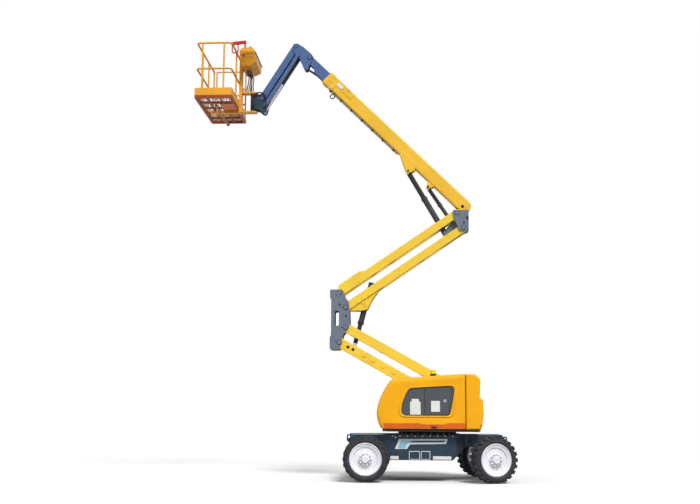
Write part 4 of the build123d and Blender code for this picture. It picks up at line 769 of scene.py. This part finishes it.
# Outline of the darker orange film that paints the shade on the hood's lower chamfer.
BAND = ((-0.800, 0.974), (0.684, 0.974), (0.684, 1.082), (0.362, 1.082), (0.322, 1.060), (-0.103, 1.056),
        (-0.150, 1.078), (-0.830, 1.074))
BAND_FILM = 0.004
LATCH_POCKET = ((-0.175, 0.976), (-0.093, 1.045), (0.312, 1.048), (0.392, 0.978))
LATCH, LATCH_BOLT = (0.055, 0.165, 0.985, 1.022), (0.110, 1.003)
DOOR = ((-0.060, 1.716), (0.405, 1.738), (0.436, 1.700), (0.385, 1.236), (-0.060, 1.236))
DOOR_Y = PANE_Y + 0.006
DOOR_SHEET = (0.058, 0.222, 1.285, 1.485)
PANE_SHEETS = ((-0.330, -0.135, 1.232, 1.470), (-0.300, -0.165, 1.470, 1.520))
LOCK, LOCK_HANDLE = (0.316, 1.484), (0.309, 0.323, 1.462, 1.506)
LOCK_PROFILE = ((0.0, 0.030), (0.006, 0.030), (0.009, 0.026), (0.009, 0.0))
SLATS, SLAT_STEP, SLAT_DEPTH, SLAT_RISE = 9, 0.050, 0.016, 0.022
SLAT_FOOT, SLAT_LEAN = (-0.455, 0.395, 1.262), (0.006, 0.007)


def ray_length(corners, centre, angles, inset=0.0, tightness=70.0):
    """Distance from the centre to a convex outline along each ray, with the outline's edges drawn in by inset, and
    the weight of each edge there. Edge k is met at r_k = (h_k - inset_k) / (n_k . ray), and
    r = (sum r_k ** -p) ** (-1 / p) rounds the corners."""
    corners = np.asarray(corners, float) - centre
    run = np.roll(corners, -1, axis=0) - corners
    normal = np.stack([run[:, 1], -run[:, 0]], axis=1) / np.linalg.norm(run, axis=1)[:, None]
    height = (normal * corners).sum(axis=1)
    normal, height = normal * np.sign(height)[:, None], np.abs(height)
    ray = np.stack([np.cos(angles), np.sin(angles)], axis=1)
    weight = (np.maximum(ray @ normal.T, 1e-4) / (height - inset)) ** tightness
    total = weight.sum(axis=1)
    return total ** (-1.0 / tightness), weight / total[:, None]


def hood_shell(face):
    """A thin moulded shell as one closed surface: P(a, k) lies on the ray at angle a round the window's middle, and
    k runs from the window's bevel over the flat side, round the outer edge by (R - R cos t, R - R sin t), along the
    top to the open side and back along the inner wall, a wall's thickness away."""
    low, high = span("hood_near")
    left, right, bottom, top = low[0], high[0], low[2], high[2]
    outline = ((left + 0.100, bottom), (left + 0.040, bottom + 0.090), (left, 1.260), (left + 0.020, 1.400),
               (left + 0.110, 1.640), (left + 0.180, top - 0.235), (left + 0.255, top - 0.130),
               (left + 0.340, top - 0.095), (right, top), (right, bottom))
    a = np.linspace(0, 2 * pi, 360, endpoint=False)
    outer, weight = ray_length(outline, HOOD_CENTRE, a)
    radius = weight @ HOOD_EDGE
    below = weight[:, -1] > 0.5
    open_y = np.where(below, HOOD_Y - HOOD_RETURN, -high[1])
    window = ray_length(WINDOW, HOOD_CENTRE, a, tightness=45.0)[0]
    rows = [(window, HOOD_Y - 0.0065), (window + 0.022, HOOD_Y)]
    for t in np.linspace(pi / 2, 0, 9):
        inset = HOOD_EDGE * (1 - cos(t))
        rows.append((ray_length(outline, HOOD_CENTRE, a, inset)[0], HOOD_Y - radius * (1 - sin(t))))
    rows.append((outer, open_y))
    rows.append((ray_length(outline, HOOD_CENTRE, a, HOOD_WALL)[0], open_y))
    for t in np.linspace(0, pi / 2, 7):
        inset = HOOD_WALL + (HOOD_EDGE - HOOD_WALL) * (1 - cos(t))
        rows.append((ray_length(outline, HOOD_CENTRE, a, inset)[0],
                     HOOD_Y - HOOD_WALL - (radius - HOOD_WALL) * (1 - sin(t))))
    rows.append((window, HOOD_Y - HOOD_WALL))
    r = np.stack([distance for distance, y in rows])
    y = np.stack([np.broadcast_to(y, a.shape) for distance, y in rows])
    points = np.stack([HOOD_CENTRE[0] + r * np.cos(a), face * y, HOOD_CENTRE[1] + r * np.sin(a)], axis=2)
    return points.reshape(-1, 3), [grid_faces(len(rows), len(a), close_rows=True, close_columns=True)]


class LIFT_OT_hoods(bpy.types.Operator):
    """Adds the hood shells with their window trim, band and latches, the inner door and the slats"""

    bl_idname = "lift.hoods"
    bl_label = "Hood fittings"

    def execute(self, context):
        window, door = rounded_outline(WINDOW, 0.06), rounded_outline(DOOR, 0.03)
        for face, body in zip(SIDES, ("hood_near", "hood_far")):
            shell = put_piece(f"hood_shell_{body}", [hood_shell(face)], "hood", body, True)
            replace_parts(shell, body)
            rings = [on_side(shrunk(window, size), face * (HOOD_Y + lift)) for size, lift in SURROUND]
            rim = np.concatenate(rings), [grid_faces(len(rings), len(window), close_rows=True, close_columns=True)]
            put_piece(f"window_surround_{body}", [rim], "hood", body, True)
            gasket = swept(on_side(shrunk(window, 0.990), face * (HOOD_Y - 0.006)), 0.008, 10, closed=True)
            put_piece(f"window_gasket_{body}", [gasket], "bellows", body, True)
            # The darker orange film paints the shade on the lower chamfer of the hood: painted shade.
            put_piece(f"hood_band_{body}", [flat_on(BAND, face, HOOD_Y, BAND_FILM)], "band", body)
            pocket = on_side(rounded_outline(LATCH_POCKET, 0.02), face * (HOOD_Y + BAND_FILM))
            put_piece(f"latch_pocket_{body}", [swept(pocket, 0.004, 8, closed=True)], "band", body, True)
            grip = flat_on(rounded_outline(rectangle(*LATCH), 0.012), face, HOOD_Y + BAND_FILM, 0.010)
            bolt = hex_bolt((LATCH_BOLT[0], face * (HOOD_Y + 0.014), LATCH_BOLT[1]), (0, face, 0), *PLATE_BOLT)
            put_piece(f"hood_latch_{body}", [grip, bolt], "knob", body)
        near = "hood_near"
        put_piece("inner_door", [flat_on(door, -1, PANE_Y, DOOR_Y - PANE_Y)], "window", near)
        put_piece("inner_door_edge", [swept(on_side(door, -DOOR_Y), 0.005, 8, closed=True)], "knob", near, True)
        sheets = [flat_on(rectangle(*sheet), -1, PANE_Y, 0.002) for sheet in PANE_SHEETS]
        sheets.append(flat_on(rounded_outline(rectangle(*DOOR_SHEET), 0.01), -1, DOOR_Y, 0.002))
        put_piece("blank_sheets", sheets, "white", near)
        lock = [turned(LOCK_PROFILE, (LOCK[0], -DOOR_Y, LOCK[1]), NEAR, 32),
                flat_on(rounded_outline(rectangle(*LOCK_HANDLE), 0.005), -1, DOOR_Y + 0.009, 0.008)]
        put_piece("inner_door_lock", lock, "zinc", near)
        slats = []
        for index in range(SLATS):
            z = SLAT_FOOT[2] + SLAT_STEP * index
            left, right = SLAT_FOOT[0] + SLAT_LEAN[0] * index, SLAT_FOOT[1] + SLAT_LEAN[1] * index
            back, high = PANE_Y + SLAT_DEPTH, z + SLAT_RISE
            slats.append(plate([(left, PANE_Y, z), (right, PANE_Y, z), (right, back, high), (left, back, high)],
                               (0.0, -0.8, 0.6), 0.0, 0.004))
        put_piece("cooling_slats", slats, "black", "hood_far")
        return {"FINISHED"}


# Lamp
LAMP_FOOT = ((0.0, 0.060), (0.012, 0.061), (0.016, 0.056), (0.038, 0.055), (0.042, 0.050), (0.042, 0.0))
LENS_FOOT, LENS_RADIUS, LENS_TAPER, LENS_RIBS, LENS_RIB = 0.042, 0.056, 0.010, 12, 0.0012


class LIFT_OT_lamp(bpy.types.Operator):
    """Adds the foot and the ribbed lens of the beacon"""

    bl_idname = "lift.lamp"
    bl_label = "Beacon lamp"

    def execute(self, context):
        near = "hood_near"
        low, high = span("beacon")
        tall = high[2] - low[2]
        spot = np.array([(low[0] + high[0]) / 2, (low[1] + high[1]) / 2, low[2]])
        put_piece("beacon_foot", [turned(LAMP_FOOT, spot, UP, 48)], "knob", near, True)
        t = np.linspace(0, 1, 25)
        ribbed = LENS_RADIUS - LENS_TAPER * t + LENS_RIB * np.cos(t * LENS_RIBS * 2 * pi)
        profile = [(LENS_FOOT, 0.0)] + list(zip(LENS_FOOT + t * (tall - 0.060), ribbed))
        profile += [(tall - 0.010, 0.040), (tall - 0.003, 0.026), (tall, 0.0)]
        lens = put_piece("beacon_lens", [turned(profile, spot, UP, 48)], "lens", near, True)
        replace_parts(lens, "beacon")
        return {"FINISHED"}


# Chassis. Films lie one on another on its side.
CHASSIS_Y, FILM = 0.78, 0.0025
STRIPE = ((-0.613, 0.598), (-0.538, 0.782), (0.372, 0.788), (0.334, 0.696), (-0.334, 0.682), (-0.390, 0.600))
STRIPE_BLUE = ((-0.560, 0.612), (-0.502, 0.752), (0.330, 0.760), (0.305, 0.722), (-0.380, 0.712), (-0.425, 0.612))
STRIPE_DARK = ((-0.330, 0.724), (-0.300, 0.750), (0.318, 0.755), (0.300, 0.730))
SPOT = (-0.603, 0.815)
PLACARDS, PLACARD_HEIGHT, PLACARD_EDGE = ((-0.353, -0.151), (-0.130, 0.040)), (0.408, 0.563), 0.012
LOW_PLATES, LOW_PLATE_HEIGHT = ((-0.700, -0.545), (0.092, 0.430)), (0.408, 0.470)
FLANGE_BOLTS, FLANGE_Z = np.linspace(-0.66, 0.46, 9), 0.838
SLEW_BOLTS, SLEW_CIRCLE, SLEW_Z = 30, 0.60, 0.860


class LIFT_OT_chassis(bpy.types.Operator):
    """Adds the side stripe, the bare placards, the flange bolts and the slew bolts of the chassis"""

    bl_idname = "lift.chassis"
    bl_label = "Chassis fittings"

    def execute(self, context):
        body = "chassis"
        white, blue, dark, bolts = [], [], [], []
        low, high = PLACARD_HEIGHT
        for face in SIDES:
            n = (0, face, 0)
            white.append(flat_on(STRIPE, face, CHASSIS_Y, FILM))
            blue.append(flat_on(STRIPE_BLUE, face, CHASSIS_Y + FILM, FILM))
            dark.append(flat_on(STRIPE_DARK, face, CHASSIS_Y + 2 * FILM, FILM))
            blue.append(disc(0.022, FILM, (SPOT[0], face * CHASSIS_Y, SPOT[1]), n, 24))
            for left, right in PLACARDS:
                inner = rectangle(left + PLACARD_EDGE, right - PLACARD_EDGE, low + PLACARD_EDGE, high - PLACARD_EDGE)
                white.append(flat_on(rectangle(left, right, low, high), face, CHASSIS_Y, FILM))
                dark.append(flat_on(inner, face, CHASSIS_Y + FILM, FILM))
            white += [flat_on(rectangle(*ends, *LOW_PLATE_HEIGHT), face, CHASSIS_Y, FILM) for ends in LOW_PLATES]
            bolts += [hex_bolt((x, face * CHASSIS_Y, FLANGE_Z), n, *FLANGE_BOLT) for x in FLANGE_BOLTS]
        put_piece("side_stripe", white, "white", body)
        put_piece("side_stripe_blue", blue, "stripe", body)
        put_piece("side_stripe_dark", dark, "chassis", body)
        put_piece("flange_bolts", bolts, "zinc", body)
        spots = circle((0.0, 0.0, SLEW_Z), np.array([1.0, 0.0, 0.0]), sideways(1.0), SLEW_CIRCLE, SLEW_BOLTS)
        put_piece("slew_bolts", [hex_bolt(spot, UP, *SLEW_BOLT) for spot in spots], "zinc", body)
        return {"FINISHED"}


# Riser arms. Places are in X and Z, those of the upper arm from its lower pin.
ARM_PLUGS = ((-1.223, 2.374), (-1.047, 2.272), (-0.852, 2.162), (-0.639, 2.040))
ARM_HOLES = ((-1.536, 2.529), (-1.438, 2.480))
UPPER_PLUGS = ((0.245, 0.115), (0.330, 0.185), (0.455, 0.255))
PLUG = ((0.0, 0.047), (0.008, 0.045), (0.011, 0.038), (0.011, 0.0))
# Profile of the black disc at each hole of the lower arm, painting the shade inside it.
HOLE_SHADE = ((0.0, 0.030), (0.004, 0.030), (0.004, 0.022), (0.001, 0.020), (0.001, 0.0))
UPPER_PLUG = ((0.0, 0.034), (0.004, 0.033), (0.006, 0.028), (0.006, 0.0))
TRUNNION_Y = 0.142


class LIFT_OT_arms(bpy.types.Operator):
    """Adds the plug discs, black discs that paint the shade in each hole, and the trunnion caps of the riser arms"""

    bl_idname = "lift.arms"
    bl_label = "Arm details"

    def execute(self, context):
        outside = span("lower_arm")[1][1]
        foot_x, foot_y, foot_z = pivot("upper_arm_turn")
        plugs, hole_shades, upper = [], [], []
        for face in SIDES:
            n, y = (0, face, 0), face * outside
            plugs += [turned(PLUG, (x, y, z), n, 40) for x, z in ARM_PLUGS]
            # Black discs paint the shade at each hole place of the arm.
            hole_shades += [turned(HOLE_SHADE, (x, y, z), n, 32) for x, z in ARM_HOLES]
            upper += [turned(UPPER_PLUG, (foot_x + x, foot_y + y, foot_z + z), n, 32) for x, z in UPPER_PLUGS]
        put_piece("arm_plugs", plugs, "arm", "lower_arm")
        put_piece("arm_holes", hole_shades, "black", "lower_arm")
        put_piece("arm_plate_plugs", upper, "arm", "upper_arm")
        caps = pin_ends(pivot("riser_barrel_turn"), TRUNNION_Y, 0.036, 2.2)
        put_piece("trunnion_caps", caps, "arm", "upper_arm")
        return {"FINISHED"}


# Platform. The floor is a frame of beams under a deck of grating bars.
BEAM, DECK = 0.050, 0.026
GRATING_STEP, GRATING_BAR, CROSS_STEP, CROSS_BAR = 0.056, 0.0018, 0.100, 0.003
CROSS_BEAM, LONG_BEAM, LONG_BEAM_LIFT = 0.022, 0.018, 0.012
FLOOR_PLATE_X, FLOOR_PLATE_Y, FLOOR_PLATE = (-4.12, 0.012), (-0.55, 0.12), 0.012
FLOOR_BAR_X, FLOOR_BAR_Y, FLOOR_BAR = (-4.226, -4.184), ((-0.50, -0.048), (0.048, 0.860)), 0.040
TIP_X, TIP_Y = (-4.232, -4.178), (0.860, 0.945)

# Console. Distances in X are from its left end; a boot is its height, its inner and outer radius and its folds.
JOYSTICK_X, JOYSTICK_PLACES, STOP_X = 0.17, (-0.16, 0.14, 0.30), 0.13
BOOT = (0.045, 0.018, 0.034, 4)
JOYSTICK = ((0.040, 0.009), (0.085, 0.008), (0.090, 0.018), (0.108, 0.024), (0.126, 0.020), (0.132, 0.0))
STOP_BUTTON = ((0.0, 0.024), (0.016, 0.024), (0.018, 0.034), (0.034, 0.034), (0.040, 0.026), (0.041, 0.0))

# Hoses: Y and outward swing of those under the console; radius and height of the arches beside the jib head
PLATFORM_HOSES = ((-0.10, 0.052), (-0.02, 0.056), (0.06, 0.048), (-0.06, 0.050), (0.02, 0.054))
JIB_HOSES, JIB_HOSE_X, JIB_HOSE_FOOT = ((0.119, 7.605), (0.140, 7.585)), -3.381, 7.47
PORT_HALF, PORT_OUT, PORT_Z = 0.017, 0.014, (7.452, 7.486)


def hose(name, route, body, diameter):
    """A hydraulic hose: one NURBS spline with the route as its control points and a round bevel. The same spline is
    first evaluated without the bevel and its points read, which nothing uses."""
    curve = bpy.data.curves.new(name, "CURVE")
    curve.dimensions = "3D"
    spline = curve.splines.new("NURBS")
    spline.points.add(len(route) - 1)
    spline.points.foreach_set("co", np.insert(route, 3, 1.0, axis=1).ravel())
    spline.order_u = 3
    spline.use_endpoint_u = True
    spline.resolution_u = 16
    bare = bpy.data.objects.new(name + "_line", curve)
    bpy.context.scene.collection.objects.link(bare)
    bpy.context.view_layer.update()
    line = bpy.data.meshes.new_from_object(bare.evaluated_get(bpy.context.evaluated_depsgraph_get()))
    points = np.empty(3 * len(line.vertices), np.float32)
    line.vertices.foreach_get("co", points)
    bpy.data.meshes.remove(line)
    bpy.data.objects.remove(bare)
    curve.bevel_depth = diameter / 2
    curve.bevel_resolution = 4
    curve.use_fill_caps = True
    curve.materials.append(MATERIALS["hose"])
    piece = bpy.data.objects.new(name, curve)
    bpy.context.scene.collection.objects.link(piece)
    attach(piece, body)


def arch(centre_x, centre_z, radius, foot_z, y):
    """Control points of a hose that arches over: the upper half of the octagon round a circle, with corners at
    radius / cos(pi / 8), so that the spline touches the circle at each side's middle, and straight legs that go
    down to foot_z."""
    a = np.array([1, 3, 5, 7]) * pi / 8
    corner = radius / cos(pi / 8)
    x, z = centre_x + corner * np.cos(a), centre_z + corner * np.sin(a)
    leg = 2 * centre_z - z[0]
    x = np.concatenate([[x[0], x[0]], x, [x[-1], x[-1]]])
    z = np.concatenate([[foot_z, leg], z, [leg, foot_z]])
    return on_side(np.stack([x, z], axis=1), y)


class LIFT_OT_floor(bpy.types.Operator):
    """Adds the frame and the grating of the platform's floor, and the plate and the bar under it"""

    bl_idname = "lift.floor"
    bl_label = "Platform floor"

    def execute(self, context):
        body = "platform"
        low, high = span("platform_floor")
        (x0, y0, z0), (x1, y1, z1) = low, high
        left, right, front, back, deck = x0 + BEAM, x1 - BEAM, y0 + BEAM, y1 - BEAM, z1 - DECK
        bars = [box(low, (x1, front, z1)), box((x0, back, z0), high),
                box((x0, front, z0), (left, back, z1)), box((right, front, z0), (x1, back, z1))]
        bars += [box((left, y - CROSS_BEAM, z0), (right, y + CROSS_BEAM, deck))
                 for y in np.linspace(y0, y1, 6)[1:-1]]
        bars += [box((x - LONG_BEAM, front, z0 + LONG_BEAM_LIFT), (x + LONG_BEAM, back, deck))
                 for x in np.linspace(x0, x1, 4)[1:-1]]
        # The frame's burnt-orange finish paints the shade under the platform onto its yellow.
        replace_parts(put_piece("floor_frame", bars, "floor", body), "platform_floor")
        grating = [box((x - GRATING_BAR, front, deck), (x + GRATING_BAR, back, z1))
                   for x in np.arange(left + 0.030, right, GRATING_STEP)]
        grating += [box((left, y - CROSS_BAR, z1 - 0.010), (right, y + CROSS_BAR, z1 - 0.002))
                    for y in np.arange(front + 0.050, back, CROSS_STEP)]
        put_piece("floor_grating", grating, "zinc", body)
        (start, end), (front, back), thick = FLOOR_PLATE_X, FLOOR_PLATE_Y, FLOOR_PLATE
        # The plate under the floor lies in shade and takes the band's darker orange: painted shade.
        put_piece("floor_plate", [box((start, front, z0 - thick), (x1 - end, back, z0))], "band", body)
        (left, right), tall = FLOOR_BAR_X, FLOOR_BAR
        halves = [box((left, front, z0 - tall), (right, back, z0)) for front, back in FLOOR_BAR_Y]
        put_piece("floor_bar", halves, "tan", body)
        (left, right), (front, back) = TIP_X, TIP_Y
        tip = box((left, front, z0 - FLOOR_BAR - 0.004), (right, back, z0 + 0.002))
        put_piece("floor_bar_tip", [tip], "knob", body)
        return {"FINISHED"}


class LIFT_OT_console(bpy.types.Operator):
    """Adds the joysticks, the stop button and the trim of the console"""

    bl_idname = "lift.console"
    bl_label = "Console fittings"

    def execute(self, context):
        body = "platform"
        (x0, near, _), (x1, far, top) = span("console")
        spots = [np.array([x0 + JOYSTICK_X, y, top]) for y in JOYSTICK_PLACES]
        tall, inner, outer, folds = BOOT
        boots = [folded_cover(spot, spot + np.array([0.0, 0.0, tall]), inner, outer, folds, 24) for spot in spots]
        put_piece("joystick_boots", boots, "bellows", body, True)
        put_piece("joysticks", [turned(JOYSTICK, spot, UP, 24) for spot in spots], "knob", body, True)
        put_piece("stop_button", [turned(STOP_BUTTON, (x0 + STOP_X, 0.0, top), UP, 32)], "red", body, True)
        latch = rectangle(x0 + 0.06, x0 + 0.10, top - 0.195, top - 0.150)
        t = np.linspace(0, 1, 12)
        lid = np.stack([x0 + 0.02 + 0.26 * t, top - 0.165 + 0.030 * t + 0.012 * np.sin(pi * t)], axis=1)
        edge = np.linspace((x1, near + 0.02, top - 0.10), (x1, far - 0.02, top - 0.10), 4)
        trim = [flat_on(latch, -1, -near, 0.012), swept(on_side(lid, near), 0.006, 8), swept(edge, 0.016, 10)]
        put_piece("console_trim", trim, "knob", body, True)
        return {"FINISHED"}


class LIFT_OT_hoses(bpy.types.Operator):
    """Hangs the hoses under the console and beside the jib head, with their ports"""

    bl_idname = "lift.hoses"
    bl_label = "Hoses"

    def execute(self, context):
        size = context.scene.lift_sizes.hose
        x0, _, bottom = span("console")[0]
        foot = span("jib_head")[1][2] + 0.010
        top = bottom + 0.004
        drop = top - foot
        for index, (y, out) in enumerate(PLATFORM_HOSES):
            x, end = x0 + 0.10 + 0.02 * index, x0 + 0.10 + 0.03 * index
            route = [(x, y, top), (x, y, top - 0.10), (x + out, y, top - 0.30 * drop),
                     (x + out * 0.6, y * 0.8, top - 0.62 * drop), (end, y * 0.5, foot + 0.10), (end, y * 0.5, foot)]
            hose(f"platform_hose_{index + 1}", route, "platform", size)
        ports = []
        for index, (radius, centre_z) in enumerate(JIB_HOSES):
            y = -JIB_HEAD_Y - 0.016 - (index + 0.5) * size
            route = arch(JIB_HOSE_X, centre_z, radius, JIB_HOSE_FOOT, y)
            ports += [box((x - PORT_HALF, y - PORT_OUT, PORT_Z[0]), (x + PORT_HALF, -JIB_HEAD_Y, PORT_Z[1]))
                      for x in (route[0][0], route[-1][0])]
            hose(f"jib_hose_{index + 1}", route, "jib_head", size)
        put_piece("hose_ports", ports, "black", "jib_head")
        return {"FINISHED"}


# Stage
FLOOR_RADIUS, FLOOR_SIDES = 90.0, 96
LAMPS = (("soft_key", 2.75, 20.0, (-0.35, 0.75, -0.85)), ("soft_fill", 0.40, 60.0, (0.7, 0.5, -0.3)))
SENSOR_MM, LENS_MM = 36.0, 52.56
CAMERA_PLACE = (-0.3212, -20.1615, 1.2757)
YAW, PITCH, ROLL = radians(3.394), radians(8.893), radians(0.292)
WHITE = (1.0, 1.0, 1.0, 1.0)


def backdrop(tree, as_light, in_view):
    """Whether a floor or a world is seen, by the camera or in metal and glass, and its level: one value where it only
    lights the object and another where it is seen."""
    path = add(tree, "LightPath")
    seen = add(tree, "Math", {0: path["Is Camera Ray"], 1: path["Is Glossy Ray"]}, operation="MAXIMUM")
    seen = add(tree, "Math", {0: seen[0], 1: path["Is Transmission Ray"]}, operation="MAXIMUM")
    return seen[0], add(tree, "MapRange", {"Value": seen[0], "To Min": as_light, "To Max": in_view})["Result"]


class LIFT_OT_stage(bpy.types.Operator):
    """Puts down the pale floor, the studio light and the camera of the photo"""

    bl_idname = "lift.stage"
    bl_label = "Stage"

    def execute(self, context):
        scene = context.scene
        scene.view_settings.view_transform = "Standard"
        # Floor: matt under the object, white from afar
        ring = circle(0.0, np.array([1.0, 0.0, 0.0]), sideways(1.0), FLOOR_RADIUS, FLOOR_SIDES)
        mesh = bpy.data.meshes.new("studio_floor")
        mesh.from_pydata(ring.tolist(), [], [list(range(FLOOR_SIDES))])
        material, tree, place = new_material("pale_studio_floor")
        distance = add(tree, "VectorMath", {0: place}, operation="LENGTH")["Value"]
        far = add(tree, "MapRange", {"Value": distance, "From Min": 6.0, "From Max": 16.0},
                  interpolation_type="SMOOTHSTEP")
        seen, pale = backdrop(tree, 0.36, 0.94)
        matt = add(tree, "BsdfDiffuse", {"Color": pale})
        glow = add(tree, "Emission", {"Color": WHITE, "Strength": 1.0})
        share = add(tree, "Math", {0: far["Result"], 1: seen}, operation="MULTIPLY")
        mix = add(tree, "MixShader", {0: share[0], 1: matt[0], 2: glow[0]})
        mesh.materials.append(finished(material, mix[0]))
        floor = bpy.data.objects.new("studio_floor", mesh)
        scene.collection.objects.link(floor)

        world = bpy.data.worlds.new("studio_white")
        world.use_nodes = True
        tree = world.node_tree
        tree.nodes.clear()
        strength = backdrop(tree, 0.44, 1.0)[1]
        white = add(tree, "Background", {"Color": WHITE, "Strength": strength})
        add(tree, "OutputWorld", {"Surface": white[0]})
        scene.world = world

        for name, energy, spread, aim in LAMPS:
            data = bpy.data.lights.new(name, "SUN")
            data.energy = energy
            data.angle = radians(spread)
            lamp = bpy.data.objects.new(name, data)
            lamp.matrix_world = Matrix(axes_along([-k for k in aim]).T.tolist()).to_4x4()
            scene.collection.objects.link(lamp)

        data = bpy.data.cameras.new("photo_camera")
        data.sensor_fit = "HORIZONTAL"
        data.sensor_width = SENSOR_MM
        data.lens = LENS_MM
        data.clip_end = 400.0
        camera = bpy.data.objects.new("photo_camera", data)
        ahead = np.array([-sin(YAW) * cos(PITCH), cos(YAW) * cos(PITCH), sin(PITCH)])
        right = np.array([cos(YAW), sin(YAW), 0.0])
        up = np.cross(right, ahead)
        x_axis = cos(ROLL) * right + sin(ROLL) * up
        y_axis = cos(ROLL) * up - sin(ROLL) * right
        turn = Matrix(np.stack([x_axis, y_axis, -ahead], axis=1).tolist()).to_4x4()
        camera.matrix_world = Matrix.Translation(CAMERA_PLACE) @ turn
        scene.collection.objects.link(camera)
        scene.camera = camera
        return {"FINISHED"}


OPERATORS = (LIFT_OT_finishes, LIFT_OT_wheels, LIFT_OT_pins, LIFT_OT_cylinders, LIFT_OT_hoods, LIFT_OT_lamp,
             LIFT_OT_chassis, LIFT_OT_arms, LIFT_OT_boom, LIFT_OT_floor, LIFT_OT_console, LIFT_OT_hoses,
             LIFT_OT_stage)


class LIFT_PT_panel(bpy.types.Panel):
    """Lists the steps that dress the lift"""

    bl_idname = "LIFT_PT_panel"
    bl_label = "Boom lift"
    bl_space_type = "VIEW_3D"
    bl_region_type = "UI"
    bl_category = "Boom lift"

    def draw(self, context):
        for operator in OPERATORS:
            self.layout.operator(operator.bl_idname)


CLASSES = (LiftColours, LiftSizes) + OPERATORS + (LIFT_PT_panel,)


def register():
    for cls in CLASSES:
        bpy.utils.register_class(cls)
    bpy.types.Scene.lift_colours = PointerProperty(type=LiftColours)
    bpy.types.Scene.lift_sizes = PointerProperty(type=LiftSizes)


def unregister():
    del bpy.types.Scene.lift_sizes
    del bpy.types.Scene.lift_colours
    for cls in reversed(CLASSES):
        bpy.utils.unregister_class(cls)


def main():
    register()
    for operator in OPERATORS:
        group, name = operator.bl_idname.split(".")
        getattr(getattr(bpy.ops, group), name)()


if __name__ == "__main__":
    main()
